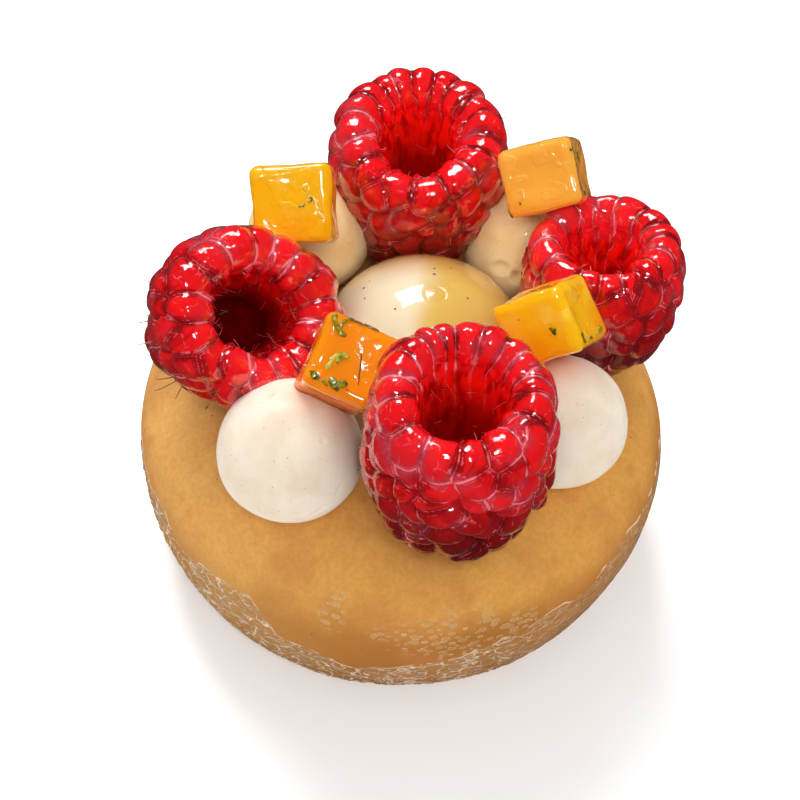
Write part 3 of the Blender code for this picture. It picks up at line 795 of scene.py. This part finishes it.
def make_raspberry_flesh():
    # thin wet skin over juice: a deep red that glows from inside, under small sharp glints
    s = start_surface("glazed raspberry", Roughness=0.05, IOR=1.5, Subsurface_Weight=0.5,
                      Subsurface_Radius=(1.0, 0.10, 0.07), Subsurface_Scale=1.8 * MM,
                      Coat_Roughness=0.0, Coat_IOR=1.5)
    crease, deep, up = (s.add("Attribute", attribute_name=name)
                        for name in ("crease", "deep", "up"))
    large, medium = s.grain(6 * MM), s.grain(2.6 * MM, 3)
    small, fine = s.grain(1.3 * MM), s.grain(0.35 * MM)
    # brighter in the middle of a drupelet as a painted glow, and on the rim; darker by the creases
    # and low down as painted shade
    centre_glow = s.times(s.add("MapRange", crease, 0.3, 1.3), s.add("MapRange", medium, 0.4, 0.7))
    shade = s.times(s.add("MapRange", crease, 0.1, 1.0, 1.0, 0.0),
                    s.add("MapRange", medium, 0.62, 0.36, 0.2, 0.9))
    flush = s.times(s.add("MapRange", up, 0.85, 1.0, 0.0, 0.6), s.add("MapRange", crease, 0.2, 1.1))
    # a pale bloom, strongest next to some creases
    bloom = s.times(s.add("MapRange", crease, 0.1, 1.1, 1.0, 0.2),
                    s.add("MapRange", large, 0.47, 0.60, 0.0, 0.65),
                    s.add("MapRange", fine, 0.3, 0.7, 0.6, 1.0),
                    s.add("MapRange", up, 0.55, 0.9, 0.25, 1.0))
    # pale lines on the creases, and here and there a fainter one beside them
    strong = s.times(s.add("MapRange", large, 0.42, 0.56, 0.3, 1.0),
                     s.add("MapRange", medium, 0.40, 0.60, 0.3, 1.0))
    line = s.add("Math", crease, s.add("MapRange", strong, 0.0, 1.0, 0.09, 0.21),
                 operation="DIVIDE")
    line = s.times(s.add("MapRange", s.add("Math", 1.0, line, operation="SUBTRACT"), 0.0, 0.7),
                   strong)
    echo = s.times(s.add("MapRange", crease, 0.30, 0.35),
                   s.add("MapRange", crease, 0.35, 0.41, 1.0, 0.0),
                   s.add("MapRange", small, 0.48, 0.6, 0, 0.6))
    # thin skins that cross a drupelet
    skins = s.add("TexVoronoi", s.bent(s.add("TexCoord"), 3 * MM, 4 * MM), 1 / (4.2 * MM),
                  feature="DISTANCE_TO_EDGE")
    skins = s.times(s.add("MapRange", skins, 0.0, 0.022, 1.0, 0.0),
                    s.add("MapRange", small, 0.50, 0.64, 0, 0.45))
    lines = s.add("Math", line, s.add("Math", echo, skins, operation="MAXIMUM"),
                  operation="MAXIMUM")
    lines = s.times(lines, s.add("MapRange", deep, 0.0, 0.3, 1.0, 0.3))
    streaks = s.add("MapRange", s.grain(1.1 * MM, 3, (1, 1, 3.5)), 0.40, 0.66)
    # the hollow: brighter red near its mouth as painted light through the thin wall, darker deep
    # down as painted shade
    inner = s.layer(
        s.add("Mix", s.add("MapRange", deep, 0.0, 1.0), "#ec1208", "#640000"),
        (s.times(streaks, 0.7), "#7c0004"),
        (s.times(lines, 0.15), "#f07080"))
    flesh = s.layer(
        s.add("Mix", s.add("Attribute", attribute_name="tint"), "#b0020b", "#dc0610"),
        (centre_glow, "#f0140f"),
        (shade, "#7c0009"),
        (s.add("MapRange", up, 0.3, 0.88, 0.95, 0.0), "#480003"),
        (flush, "#f8141e"),
        (bloom, "#dc4a5e"),
        (s.times(lines, 0.85), "#fa8c96"),
        (s.add("MapRange", deep, 0.0, 0.2), inner))
    # painted glow as emission: light that seeps through the thin wall into the hollow, and a faint
    # glow in the pale lines
    seeping = s.times(s.add("Attribute", attribute_name="glow"),
                      s.add("MapRange", streaks, 0, 1, 0.26, 0.08))
    lit_lines = s.times(lines, s.add("MapRange", deep, 0.0, 0.2, 0.08, 0.02))
    wet = s.times(s.add("MapRange", deep, 0.0, 0.3, 1.0, 0.0),
                  s.add("MapRange", up, 0.2, 0.7, 0.35, 1.0))
    # glaze: slow waves, and ripples and beads in patches that break its glints up
    waves = s.add("Bump", s.grain(1.6 * MM), 0.16 * MM)
    ripples = s.times(s.grain(0.6 * MM, 1), s.add("MapRange", medium, 0.42, 0.62))
    glaze = s.add("Bump", ripples, 0.05 * MM, waves)
    glaze = s.add("Bump", glaze_beads(s, 0.85 * MM, 0.55), 0.15 * MM, glaze)
    glaze = s.add("Bump", glaze_beads(s, 0.5 * MM, 0.45), 0.09 * MM, glaze)
    s.feed(Base_Color=flesh, Emission_Color=s.add("Mix", lines, "#ff1004", "#ff7078"),
           Emission_Strength=s.add("Math", seeping, lit_lines, operation="ADD"),
           Coat_Weight=wet, Specular_IOR_Level=s.times(wet, 0.7), Normal=waves,
           Coat_Normal=glaze)
    return s


raspberry_flesh = make_raspberry_flesh()
fruit = {}
for seed, (name, berry) in enumerate(BERRIES.items(), 3):
    bm = revolve([tuple(p) for p in cup_outline(berry)[0]], BERRY_SEGMENTS)
    fruit[name] = finish_piece(name + "_flesh", bm, raspberry_flesh, [name])
    swell_berry(fruit[name], berry, seed)

# %% [markdown]
# ## Mango cubes
# The cubes are cut from ripe mango, so their faces are almost flat but soft, with rounded, worn
# edges, and each one has its own shade. A cube is subdivided, its corners are rounded and its
# faces made uneven. Where a raspberry pushes into it, its points are pressed back.

# %% Pressing soft pieces against their neighbours
def tree_of(piece):
    """A search tree of a finished piece's surface."""
    return BVHTree.FromPolygons([v.co for v in piece.data.vertices],
                                [p.vertices for p in piece.data.polygons])


def press(bm, middle, neighbours, gap):
    """Pull in the points that lie behind a neighbour, seen from the piece's middle."""
    for vert in bm.verts:
        away = vert.co - middle
        reach = away.length
        away.normalize()
        for tree in neighbours:
            place, _, _, distance = tree.ray_cast(middle, away, reach + gap)
            if place is not None:
                reach = min(reach, distance - gap)
        vert.co = middle + away * reach


# %% Shape of the cubes
CUBES = {
    # name: middle in mm, turns about X, Y and Z in degrees, edges in mm
    "mango_front_left": ((-7.0, -14.6, 46.4), (31, 8, -20), (9.4, 9.6, 9.2)),
    "mango_front_right": ((16.3, -7.0, 47.9), (57, -24, 28), (9.8, 8.6, 9.2)),
    "mango_back_right": ((15.2, 15.5, 48.4), (45, -14, 18), (9.8, 8.8, 9.0)),
    "mango_back_left": ((-15.0, 8.8, 47.5), (42, -2, 7), (10.2, 10.0, 9.0)),
}
CUBE_CUTS = 36
CUBE_ROUNDING = 1.35 * MM
CUBE_WAVES = ((0.30, 4.5), (0.05, 1.8))
FACE_DIP, CUBE_INSET = 0.16, 0.20


def cube_shape(name, seed):
    """A soft cube with rounded edges and uneven faces, in its own frame."""
    bm = bmesh.new()
    bmesh.ops.create_cube(bm, size=1.0)
    bmesh.ops.subdivide_edges(bm, edges=bm.edges, cuts=CUBE_CUTS, use_grid_fill=True)
    rim = bm.verts.layers.float.new("rim")
    half = Vector(CUBES[name][2]) * MM / 2
    shift = Vector((seed * 3.7, seed * 1.3, 0))
    for vert in bm.verts:
        place = Vector([2 * c * h for c, h in zip(vert.co, half)])
        rounding = CUBE_ROUNDING * (1 + 0.45 * lumps(place + shift, 5 * MM))
        core = Vector([max(-h + rounding, min(h - rounding, c)) for c, h in zip(place, half)])
        out = (place - core).normalized()
        place = core + out * rounding
        second = sorted(abs(c) / h for c, h in zip(place, half))[1]
        vert[rim] = between(second, 0.80, 0.98)
        dip = FACE_DIP * (1 - between(second, 0.2, 0.9))
        vert.co = place + out * (waves(place + shift, CUBE_WAVES) - dip - CUBE_INSET) * MM
    return bm


# %% [markdown]
# Ripe mango is a wet orange gel that lets light through. Its colour is yellower at the top and
# along its cut edges and deep orange below: painted light from above and a painted glow on the
# edges. The glaze on it lies in uneven patches, beads and strings that shine white, and ran off
# the sides, which are duller than the top.


# %% Glazed mango
def make_mango(name, deep, light, edge_tone, lowest, highest):
    """Wet, see-through mango painted deep below and light above, with a painted pale glow on the
    edges and broken glints.
    """
    s = start_surface(name, Roughness=0.05, IOR=1.5, Subsurface_Weight=0.5,
                      Subsurface_Radius=(1.0, 0.5, 0.05), Subsurface_Scale=2.4 * MM,
                      Coat_Roughness=0.0)
    z = s.add("SeparateXYZ", s.add("TexCoord"))
    glazed = s.add("MapRange", z, 45 * MM, 49 * MM, 0.2, 0.9)
    height = s.add("Math", z, s.times(s.grain(5 * MM), 5 * MM), operation="ADD")
    rim = s.add("Attribute", attribute_name="rim")
    # painted light: lighter towards the top, and in the last layer a painted pale glow along the
    # edges
    flesh = s.layer(
        s.add("Mix", s.add("MapRange", height, lowest * MM, highest * MM), deep, light),
        (s.add("MapRange", s.grain(3.0 * MM, 3), 0.5, 0.75, 0, 0.3), edge_tone),
        (s.add("MapRange", rim, 0.70, 1.0, 0.0, 0.65), edge_tone))
    patchy = s.add("MapRange", s.grain(3 * MM), 0.45, 0.58)
    by_edge = s.add("Math", s.add("MapRange", rim, 0.3, 0.9),
                    s.add("MapRange", patchy, 0.5, 1.0, 0, 0.8), operation="MAXIMUM")
    waves = s.add("Bump", s.times(s.grain(2.2 * MM), s.add("MapRange", by_edge, 0, 1, 0.4, 1.0)),
                  0.18 * MM)
    glaze = s.add("Bump", s.times(s.grain(0.7 * MM, 1), by_edge), 0.06 * MM, waves)
    for size, share, tall in ((1.2 * MM, 0.45, 0.15 * MM), (0.6 * MM, 0.4, 0.08 * MM)):
        glaze = s.add("Bump", s.times(glaze_beads(s, size, share), patchy), tall, glaze)
    s.feed(Base_Color=flesh, Coat_Weight=glazed, Specular_IOR_Level=s.times(glazed, 0.55),
           Normal=waves, Coat_Normal=glaze)
    return s


MANGOES = (
    # material, tones below, above and at the edges, and the heights in mm of the first two
    ("orange mango", "#ec6e06", "#f6900e", "#ffb032", 44, 54),
    ("golden mango", "#f46600", "#ffbe10", "#ffd668", 46, 54),
    ("apricot mango", "#f47c04", "#ffb040", "#ffc86a", 45, 54),
    ("yellow mango", "#d87000", "#fcb808", "#ffcc30", 45, 54),
)
berry_trees = {name: tree_of(piece) for name, piece in fruit.items()}
cubes = {}
for seed, (name, tones) in enumerate(zip(CUBES, MANGOES), 1):
    bm = cube_shape(name, seed)
    middle, turns, _ = CUBES[name]
    middle = Vector(middle) * MM
    x, y, z = map(turned, turns, "XYZ")
    bmesh.ops.transform(bm, matrix=Matrix.Translation(middle) @ x @ y @ z, verts=bm.verts)
    press(bm, middle, berry_trees.values(), 0.04 * MM)
    cubes[name] = finish_piece(name + "_flesh", bm, make_mango(*tones), [name])
cube_trees = {name: tree_of(piece) for name, piece in cubes.items()}

# %% [markdown]
# ## Cream balls
# The cream was piped as balls and smoothed, so it is silky and matt, with faint brush marks, a few
# burst bubbles and dents where other toppings touched it.

# %% Shape of the balls
CREAMS = {
    # name: place in plan and radius in mm
    "cream_front_left": ((-13.0, -19.2), 8.8),
    "cream_front_right": ((18.8, -11.8), 8.3),
    "cream_back_right": ((13.6, 16.6), 7.7),
    "cream_back_left": ((-13.6, 15.4), 7.9),
}
CREAM_SQUAT = 0.96
CREAM_SINK = 0.75 * MM
CREAM_TAPER = 0.10
CREAM_STEPS, CREAM_SEGMENTS = 120, 190
DENTS = (
    # place in mm, direction of its long side, half length, half width and depth in mm
    ((-16.0, -17.6, 43.4), (0.9, 0.3, 0.5), 1.1, 0.50, 0.45),
    ((-9.0, -22.5, 42.0), (0.1, 0.5, -0.9), 0.55, 0.32, 0.40),
    ((-8.6, -26.6, 34.3), (1.0, 0.1, 0.15), 1.7, 0.38, 0.50),
    ((-6.4, -25.4, 36.6), (0.5, 0.5, 0.9), 1.6, 0.22, 0.16),
    ((10.8, 10.1, 37.3), (0.9, -0.2, 0.4), 1.0, 0.75, 0.80),
    ((12.9, 9.4, 36.7), (0.3, -0.2, -0.9), 0.8, 0.6, 0.80),
    ((24.4, -13.4, 38.6), (0.1, -0.5, 0.8), 1.7, 0.25, 0.16),
)


def cream_middle(x, y, radius):
    """A ball's middle, a little sunk into the cake."""
    reach = max(0.0, math.hypot(x, y) - (CAKE_RADIUS - CAKE_TOP_REACH)) / CAKE_TOP_REACH
    cake_top = CAKE_EQUATOR + (CAKE_HEIGHT - CAKE_EQUATOR) * math.sqrt(1 - reach * reach)
    return Vector((x, y, cake_top + radius * CREAM_SQUAT - CREAM_SINK))


def dent_depth(point, out):
    """How far the dents push a point in, with a low lip round each dent."""
    depth = 0.0
    for middle, direction, long, wide, deep in DENTS:
        away = (point - Vector(middle) * MM) / MM
        if away.length > 4 * long:
            continue
        away -= out * away.dot(out)
        along = away.dot(Vector(direction).normalized())
        across = math.sqrt(max(0.0, away.length_squared - along * along))
        away = math.hypot(along / long, across / wide)
        depth += deep * (math.exp(-away ** 2) - 0.2 * math.exp(-4 * (away - 1.5) ** 2))
    return depth * MM


def cream_shape(middle, radius, seed):
    """A smoothed ball of cream, narrower towards the top, with dents and brush marks."""
    turns = [math.pi * i / CREAM_STEPS for i in range(CREAM_STEPS + 1)]
    bm = revolve([(radius * math.sin(turn), radius * math.cos(turn)) for turn in turns],
                 CREAM_SEGMENTS)
    shift = Vector((0, seed * 2.1, 0))
    for vert in bm.verts:
        out = vert.co.normalized()
        streaks = lumps(Vector((vert.co.x, vert.co.y, 3.5 * vert.co.z)) + shift, 2.6 * MM)
        uneven = 0.16 * lumps(vert.co + shift, 6 * MM) + 0.03 * streaks - 0.10
        narrow = 1 - CREAM_TAPER * vert.co.z / radius
        vert.co += out * uneven * MM
        vert.co = middle + Vector((vert.co.x * narrow, vert.co.y * narrow,
                                   vert.co.z * CREAM_SQUAT))
        vert.co -= out * dent_depth(vert.co, out)
    return bm


# %% Whipped cream
def make_cream(name, light, shade):
    """Whipped fat scatters light, so cream looks soft and silky, with a few burst bubbles."""
    s = start_surface(name, Roughness=0.55, IOR=1.45, Subsurface_Weight=0.3,
                      Subsurface_Radius=(1.0, 0.75, 0.5), Subsurface_Scale=1.2 * MM,
                      Specular_IOR_Level=0.0, Coat_Weight=0.30, Coat_Roughness=0.0)
    away, drawn = s.cells(s.add("TexCoord"), 0.75 * MM)
    pore = s.times(s.add("MapRange", away, 0.08, 0.13, 1.0, 0.0),
                   s.add("MapRange", drawn, 0.55, 1.0))
    tone = s.layer(s.add("Mix", s.add("MapRange", s.grain(5 * MM, 3), 0.35, 0.75), light, shade),
                   (s.times(pore, 0.8), "#b8946c"))
    relief = s.add("Bump", s.grain(0.5 * MM, 3, (1, 3, 0.6)), 0.03 * MM)
    relief = s.add("Bump", s.add("Math", 1.0, pore, operation="SUBTRACT"), 0.05 * MM, relief)
    # a wavy moist skin, which breaks the glints up into silky patches
    wavy = s.add("Bump", s.grain(1.1 * MM, 2, (1, 1.6, 0.8)), 0.16 * MM)
    s.feed(Base_Color=tone, Normal=relief, Coat_Normal=wavy)
    return s


ivory_cream = make_cream("ivory whipped cream", "#f6e9d6", "#ecdac2")
beige_cream = make_cream("beige whipped cream", "#ffe4ac", "#f4ca86")
dome_tree = tree_of(dome)
toppings = [*berry_trees.values(), *cube_trees.values(), dome_tree]
hard_trees = [*toppings, tree_of(cake)]
for seed, (name, ((x, y), radius)) in enumerate(CREAMS.items(), 1):
    middle = cream_middle(x * MM, y * MM, radius * MM)
    bm = cream_shape(middle, radius * MM, seed)
    press(bm, middle, hard_trees, 0.03 * MM)
    surface = ivory_cream if "front" in name else beige_cream
    toppings.append(tree_of(finish_piece(name + "_ball", bm, surface, [name])))

# %% [markdown]
# Painted shade darkens the cake in the narrow gaps under its toppings. The distance to the
# nearest topping is kept on the cake's points for its material.

# %% Cake under its toppings
GAP_REACH = 2.5 * MM
LOWEST_GAP = 18 * MM
near = []
for vert in cake.data.vertices:
    high = vert.co.z > LOWEST_GAP
    found = [tree.find_nearest(vert.co, GAP_REACH)[3] for tree in toppings] if high else []
    gap = min([distance for distance in found if distance is not None], default=GAP_REACH)
    near.append(1 - gap / GAP_REACH)
cake.data.attributes.new("near", "FLOAT", "POINT").data.foreach_set("value", near)
print("points near toppings:", sum(n > 0 for n in near))

# %% [markdown]
# ## Small bits
# Curled strips of green and yellow zest lie on the fruit, tiny dark vanilla seeds sit in the
# glaze, and raspberries keep some hairs: pale fibres in the hollow and brown styles outside. Each
# is a thin closed strip or thread, snapped to the surface it lies on, and all of a kind are joined.


# %% Zest
def snap(tree, points, lift):
    """Move points in mm to the nearest place on a surface, lifted by some millimetres."""
    found = []
    for point in points:
        place, normal, _, _ = tree.find_nearest(Vector(point) * MM)
        found.append(place + normal * lift * MM)
    return found, normal


ZEST = {
    # cube: (points along a strip in mm), half width, lift at the middle, tone from green to yellow
    "mango_front_left": (
        (((-8.5, -12.4, 53.1), (-8.6, -13.2, 52.8), (-8.0, -14.2, 52.2), (-7.2, -14.8, 51.9)),
         0.36, 0.25, 0.55),
        (((-7.9, -13.9, 52.3), (-7.3, -13.2, 52.6), (-6.6, -12.5, 52.8), (-5.6, -12.3, 52.7)),
         0.26, 0.30, 0.15),
        (((-6.6, -12.4, 52.9), (-5.4, -12.3, 52.6), (-4.4, -12.6, 52.3)), 0.22, 0.10, 0.0),
        (((-4.9, -12.0, 52.4), (-4.0, -12.3, 52.2), (-3.2, -12.9, 51.9)), 0.24, 0.15, 0.05),
        (((-9.0, -18.2, 50.0), (-8.4, -17.2, 50.6), (-7.6, -16.5, 50.8), (-6.8, -16.5, 50.7)),
         0.34, 0.35, 0.95),
        (((-8.0, -17.4, 50.3), (-7.4, -16.8, 50.6), (-6.6, -16.6, 50.6)), 0.30, 0.15, 0.85),
        (((-10.7, -18.6, 49.9), (-10.2, -19.2, 49.7), (-9.8, -19.4, 49.6)), 0.42, 0.15, 0.25),
        (((-8.4, -19.0, 49.5), (-8.0, -19.7, 49.1), (-7.6, -20.2, 48.7)), 0.50, 0.20, 0.10),
        (((-7.7, -19.7, 49.1), (-7.2, -19.5, 49.0), (-6.6, -19.5, 49.0)), 0.45, 0.40, 0.35),
        (((-9.4, -19.4, 49.5), (-8.8, -20.0, 49.1)), 0.28, 0.10, 0.6),
        # a brown thread
        (((-5.2, -15.7, 50.8), (-5.2, -17.3, 49.9), (-5.3, -19.2, 48.8)), 0.08, 0.0, 2.2)),
    "mango_front_right": (
        (((16.0, -10.9, 51.2), (16.4, -11.0, 51.0), (16.7, -11.2, 50.8)), 0.30, 0.12, 0.15),
        (((16.7, -10.8, 51.2), (16.4, -11.3, 50.8)), 0.20, 0.10, 0.1),
        (((19.8, -10.9, 51.0), (20.1, -11.4, 50.6), (20.5, -11.7, 50.2)), 0.26, 0.12, 0.25),
        (((21.0, -10.4, 49.6), (21.3, -9.9, 49.2)), 0.18, 0.10, 0.2),
        (((21.6, -9.0, 48.7), (22.1, -8.0, 48.2), (22.6, -7.0, 47.8)), 0.30, 0.15, 0.7)),
    "mango_back_left": (
        (((-14.3, 5.6, 50.8), (-13.9, 5.4, 50.9), (-13.5, 5.8, 51.1)), 0.16, 0.12, 0.2),
        (((-13.4, 6.2, 51.3), (-13.1, 6.7, 51.5), (-12.7, 6.4, 51.5), (-12.8, 6.0, 51.3),
          (-13.2, 5.9, 51.2)), 0.13, 0.15, 0.45)),
    "mango_back_right": (
        (((17.7, 14.7, 54.4), (18.1, 15.1, 54.3)), 0.20, 0.08, 0.1),
        (((19.0, 16.9, 52.0), (19.3, 17.0, 51.2), (19.6, 16.9, 50.4)), 0.34, 0.10, 0.5),
        (((20.3, 12.9, 49.9), (20.2, 12.6, 49.0)), 0.26, 0.10, 0.3),
        (((12.1, 10.5, 49.1), (12.3, 10.3, 48.8)), 0.16, 0.08, 0.2),
        (((10.4, 10.6, 47.3), (10.9, 10.0, 47.0), (11.5, 9.8, 46.9)), 0.36, 0.10, 0.4)),
}
ZEST_JAG = 0.3  # how ragged a strip's edges are, as a share of its width
ZEST_FLATNESS = 0.16


def make_zest():
    # peel cooked in syrup: vivid green rind and paler pith, with a weak sticky shine
    s = start_surface("candied lime zest", Roughness=0.3, IOR=1.45, Subsurface_Weight=0.2,
                      Subsurface_Radius=(0.6, 1.0, 0.2), Subsurface_Scale=0.5 * MM,
                      Specular_IOR_Level=0.2, Coat_Weight=0.15, Coat_Roughness=0.05)
    mottle = s.add("MapRange", s.grain(0.5 * MM), 0.35, 0.65, -0.3, 0.3)
    tone = s.add("Math", s.add("Attribute", attribute_name="tone"), mottle, operation="ADD")
    peel = s.layer(s.add("Mix", s.add("MapRange", tone, 0.0, 0.5), "#5a600e", "#a29a18"),
                   (s.add("MapRange", tone, 0.5, 1.0), "#d2c44a"),
                   (s.add("MapRange", tone, 1.4, 1.7), "#6e3c10"))
    s.feed(Base_Color=peel, Normal=s.add("Bump", s.grain(0.5 * MM), 0.08 * MM))
    return s


def round_path(points, steps):
    """A smooth line through points, by repeatedly cutting its corners."""
    for _ in range(steps):
        finer = [points[0]]
        for first, second in zip(points, points[1:]):
            finer += [first.lerp(second, 0.25), first.lerp(second, 0.75)]
        points = finer + [points[-1]]
    return points


def random_vector(rng):
    return Vector([rng.uniform(-1, 1) for _ in range(3)])


rng = random.Random(8)
lines = []
for name, strips in ZEST.items():
    for points, width, lift, tone in strips:
        path, normal = snap(cube_trees[name], points, 0.03)
        path = round_path(path, 2)
        bow = [math.sin(math.pi * i / (len(path) - 1)) for i in range(len(path))]
        path = [p + normal * lift * MM * b + width * MM * ZEST_JAG * random_vector(rng)
                for p, b in zip(path, bow)]
        widths = [width * MM * (0.35 + 0.65 * b ** 0.5) * rng.uniform(0.55, 1.2) for b in bow]
        lines.append((path, widths, ZEST_FLATNESS, normal, tone))
finish_piece("lime_zest", grow_threads(lines), make_zest())

# %% Vanilla seeds
SEEDS = {
    # places in mm on the dome and the fruit, and radii
    "dome": (
        (-1.9, 9.0, 38.7, 0.20), (2.5, 4.6, 42.3, 0.16), (2.5, 3.4, 42.7, 0.20),
        (4.5, 5.3, 41.8, 0.15), (0.9, 7.3, 40.9, 0.12), (-5.7, 2.3, 40.2, 0.18),
        (-5.5, 0.4, 40.6, 0.13), (-1.8, -2.2, 42.2, 0.14), (0.6, -1.4, 42.8, 0.08),
        (6.7, 0.4, 42.2, 0.14), (-5.1, 3.3, 40.4, 0.10), (-1.4, 9.2, 38.4, 0.14),
        (8.6, 4.0, 40.1, 0.10), (-6.4, 6.0, 38.0, 0.12), (3.0, -6.5, 41.0, 0.12),
        (8.0, -5.0, 40.0, 0.14), (12.5, 4.0, 35.0, 0.12), (-4.0, 8.5, 38.0, 0.10)),
    "mango_front_left": ((-1.2, -13.8, 50.6, 0.22), (-4.1, -17.2, 46.9, 0.20),
                         (-6.5, -19.8, 48.6, 0.10), (-10.9, -17.6, 50.0, 0.10)),
    "mango_front_right": ((10.4, -9.5, 47.9, 0.14), (10.9, -10.2, 47.6, 0.12),
                          (12.3, -9.4, 50.4, 0.10)),
    "raspberry_back": ((-0.2, 26.4, 47.0, 0.20), (1.4, 26.4, 47.0, 0.22), (0.9, 27.2, 49.0, 0.15)),
    "raspberry_front": ((-4.1, -22.7, 51.8, 0.20), (0.5, -29.0, 47.0, 0.16),
                        (-4.6, -24.5, 46.0, 0.18), (5.3, -31.0, 40.0, 0.12)),
}
SEED_SHAPE = Matrix.Diagonal((1.15, 0.85, 0.35, 1))
SEED_SCALE = 1.25

# dry seeds are dull and almost black
s = start_surface("vanilla seed", Roughness=0.7, IOR=1.45)
s.feed(Base_Color=s.add("Mix", s.grain(0.2 * MM, 1), "#1c1006", "#5a3a16"))
surfaces = {"dome": dome_tree, **cube_trees, **berry_trees}
bm = bmesh.new()
for name, places in SEEDS.items():
    for x, y, z, size in places:
        (point,), normal = snap(surfaces[name], [(x, y, z)], -0.02)
        turn = normal.to_track_quat("Z", "Y").to_matrix().to_4x4()
        bmesh.ops.create_icosphere(bm, subdivisions=1, radius=SEED_SCALE * size * MM,
                                   matrix=Matrix.Translation(point) @ turn @ SEED_SHAPE)
finish_piece("vanilla_seeds", bm, s)


# %% Raspberry hairs
def make_hair(name, dark, light, roughness):
    """Dry hairs show as dull thin lines, each in a tone between dark and light."""
    s = start_surface(name, Roughness=roughness, IOR=1.45)
    tone = s.add("Mix", s.add("Attribute", attribute_name="tone"), dark, light)
    s.feed(Base_Color=s.add("Mix", s.grain(0.5 * MM, 1), tone, light))
    return s


def bent_hair(rng, root, direction, length, droop, steps=6):
    """Points of a hair that curls as it grows."""
    points = [root.copy()]
    direction = direction.normalized()
    curl = random_vector(rng) * droop
    for _ in range(steps - 1):
        direction = (direction + curl / steps).normalized()
        points.append(points[-1] + direction * length / (steps - 1))
    return points


STYLES = (
    # root on the left raspberry in mm, direction, length in mm, half width of its end in mm
    ((-26.8, -13.6, 40.0), (-0.8, -0.9, -0.1), 3.4, 0.03),
    ((-27.0, -13.4, 40.4), (-1.0, -0.6, -0.1), 2.6, 0.03),
    ((-26.2, -14.2, 39.6), (-0.6, -1.0, -0.3), 2.2, 0.03),
    ((-22.1, -15.7, 41.3), (-0.7, -0.8, -0.7), 3.0, 0.14),
    ((-30.4, -10.4, 42.2), (-1.0, -0.5, 0.1), 2.4, 0.03),
    ((-31.2, -7.5, 43.0), (-1.0, -0.3, 0.2), 1.6, 0.03),
)
STYLE_WIDTHS = (0.085, 0.075, 0.065, 0.06, 0.055)
HAIR_WIDTHS = (0.055,) * 5 + (0.02,)
FIBRE_WIDTHS = (0.028,) * 5 + (0.015,)
HAIR_COUNT, FIBRE_COUNT = 10, 24
LEFT_HAIR_COUNT, LEFT_FIBRE_COUNT = 18, 80  # the left berry is the hairiest
HAIR_SIDE = Vector((0.1, 0.2, 1))


def add_hair(hairs, path, widths, tone):
    hairs.append((path, [width * MM for width in widths], 1.0, HAIR_SIDE, tone))


rng = random.Random(21)
styles, fibres = [], []
for root, direction, length, end in STYLES:
    (point,), _ = snap(berry_trees["raspberry_left"], [root], -0.1)
    path = bent_hair(rng, point, Vector(direction), length * MM, 0.5)
    add_hair(styles, path, (*STYLE_WIDTHS, end), rng.random() * 0.5)
for name, berry in BERRIES.items():
    own, axis, length = berry_trees[name], berry_place(berry), berry.length * MM
    left = name == "raspberry_left"
    middle = axis @ Vector((0, 0, 0.5 * length))
    for _ in range(LEFT_HAIR_COUNT if left else HAIR_COUNT):
        turn, lean = rng.uniform(0, math.tau), rng.uniform(-0.5, 0.75)
        way = Vector((math.cos(turn), math.sin(turn), lean)).normalized()
        place, normal, _, _ = own.ray_cast(middle + way * 30 * MM, -way)
        if place is None or normal.z < -0.6:
            continue
        way = (normal + 0.9 * random_vector(rng)).normalized()
        path = bent_hair(rng, place - normal * 0.1 * MM, way, rng.uniform(0.6, 1.5) * MM, 0.6)
        add_hair(styles, path, HAIR_WIDTHS, rng.random())
    # fibres inside the hollow
    for _ in range(LEFT_FIBRE_COUNT if left else FIBRE_COUNT):
        turn, level = rng.uniform(0, math.tau), rng.uniform(0.50, 0.86) * length
        way = (axis.to_3x3() @ Vector((math.cos(turn), math.sin(turn), 0))).normalized()
        place, normal, _, _ = own.ray_cast(axis @ Vector((0, 0, level)), way)
        if place is None:
            continue
        way = normal * 0.5 + random_vector(rng)
        path = bent_hair(rng, place + normal * 0.02 * MM, way, rng.uniform(0.8, 2.2) * MM, 1.6)
        add_hair(fibres, path, FIBRE_WIDTHS, rng.random())
finish_piece("raspberry_styles", grow_threads(styles),
             make_hair("dried raspberry style", "#3a1c08", "#8a6238", 0.6))
finish_piece("raspberry_fibres", grow_threads(fibres),
             make_hair("raspberry core fibre", "#a81418", "#d8484c", 0.5))
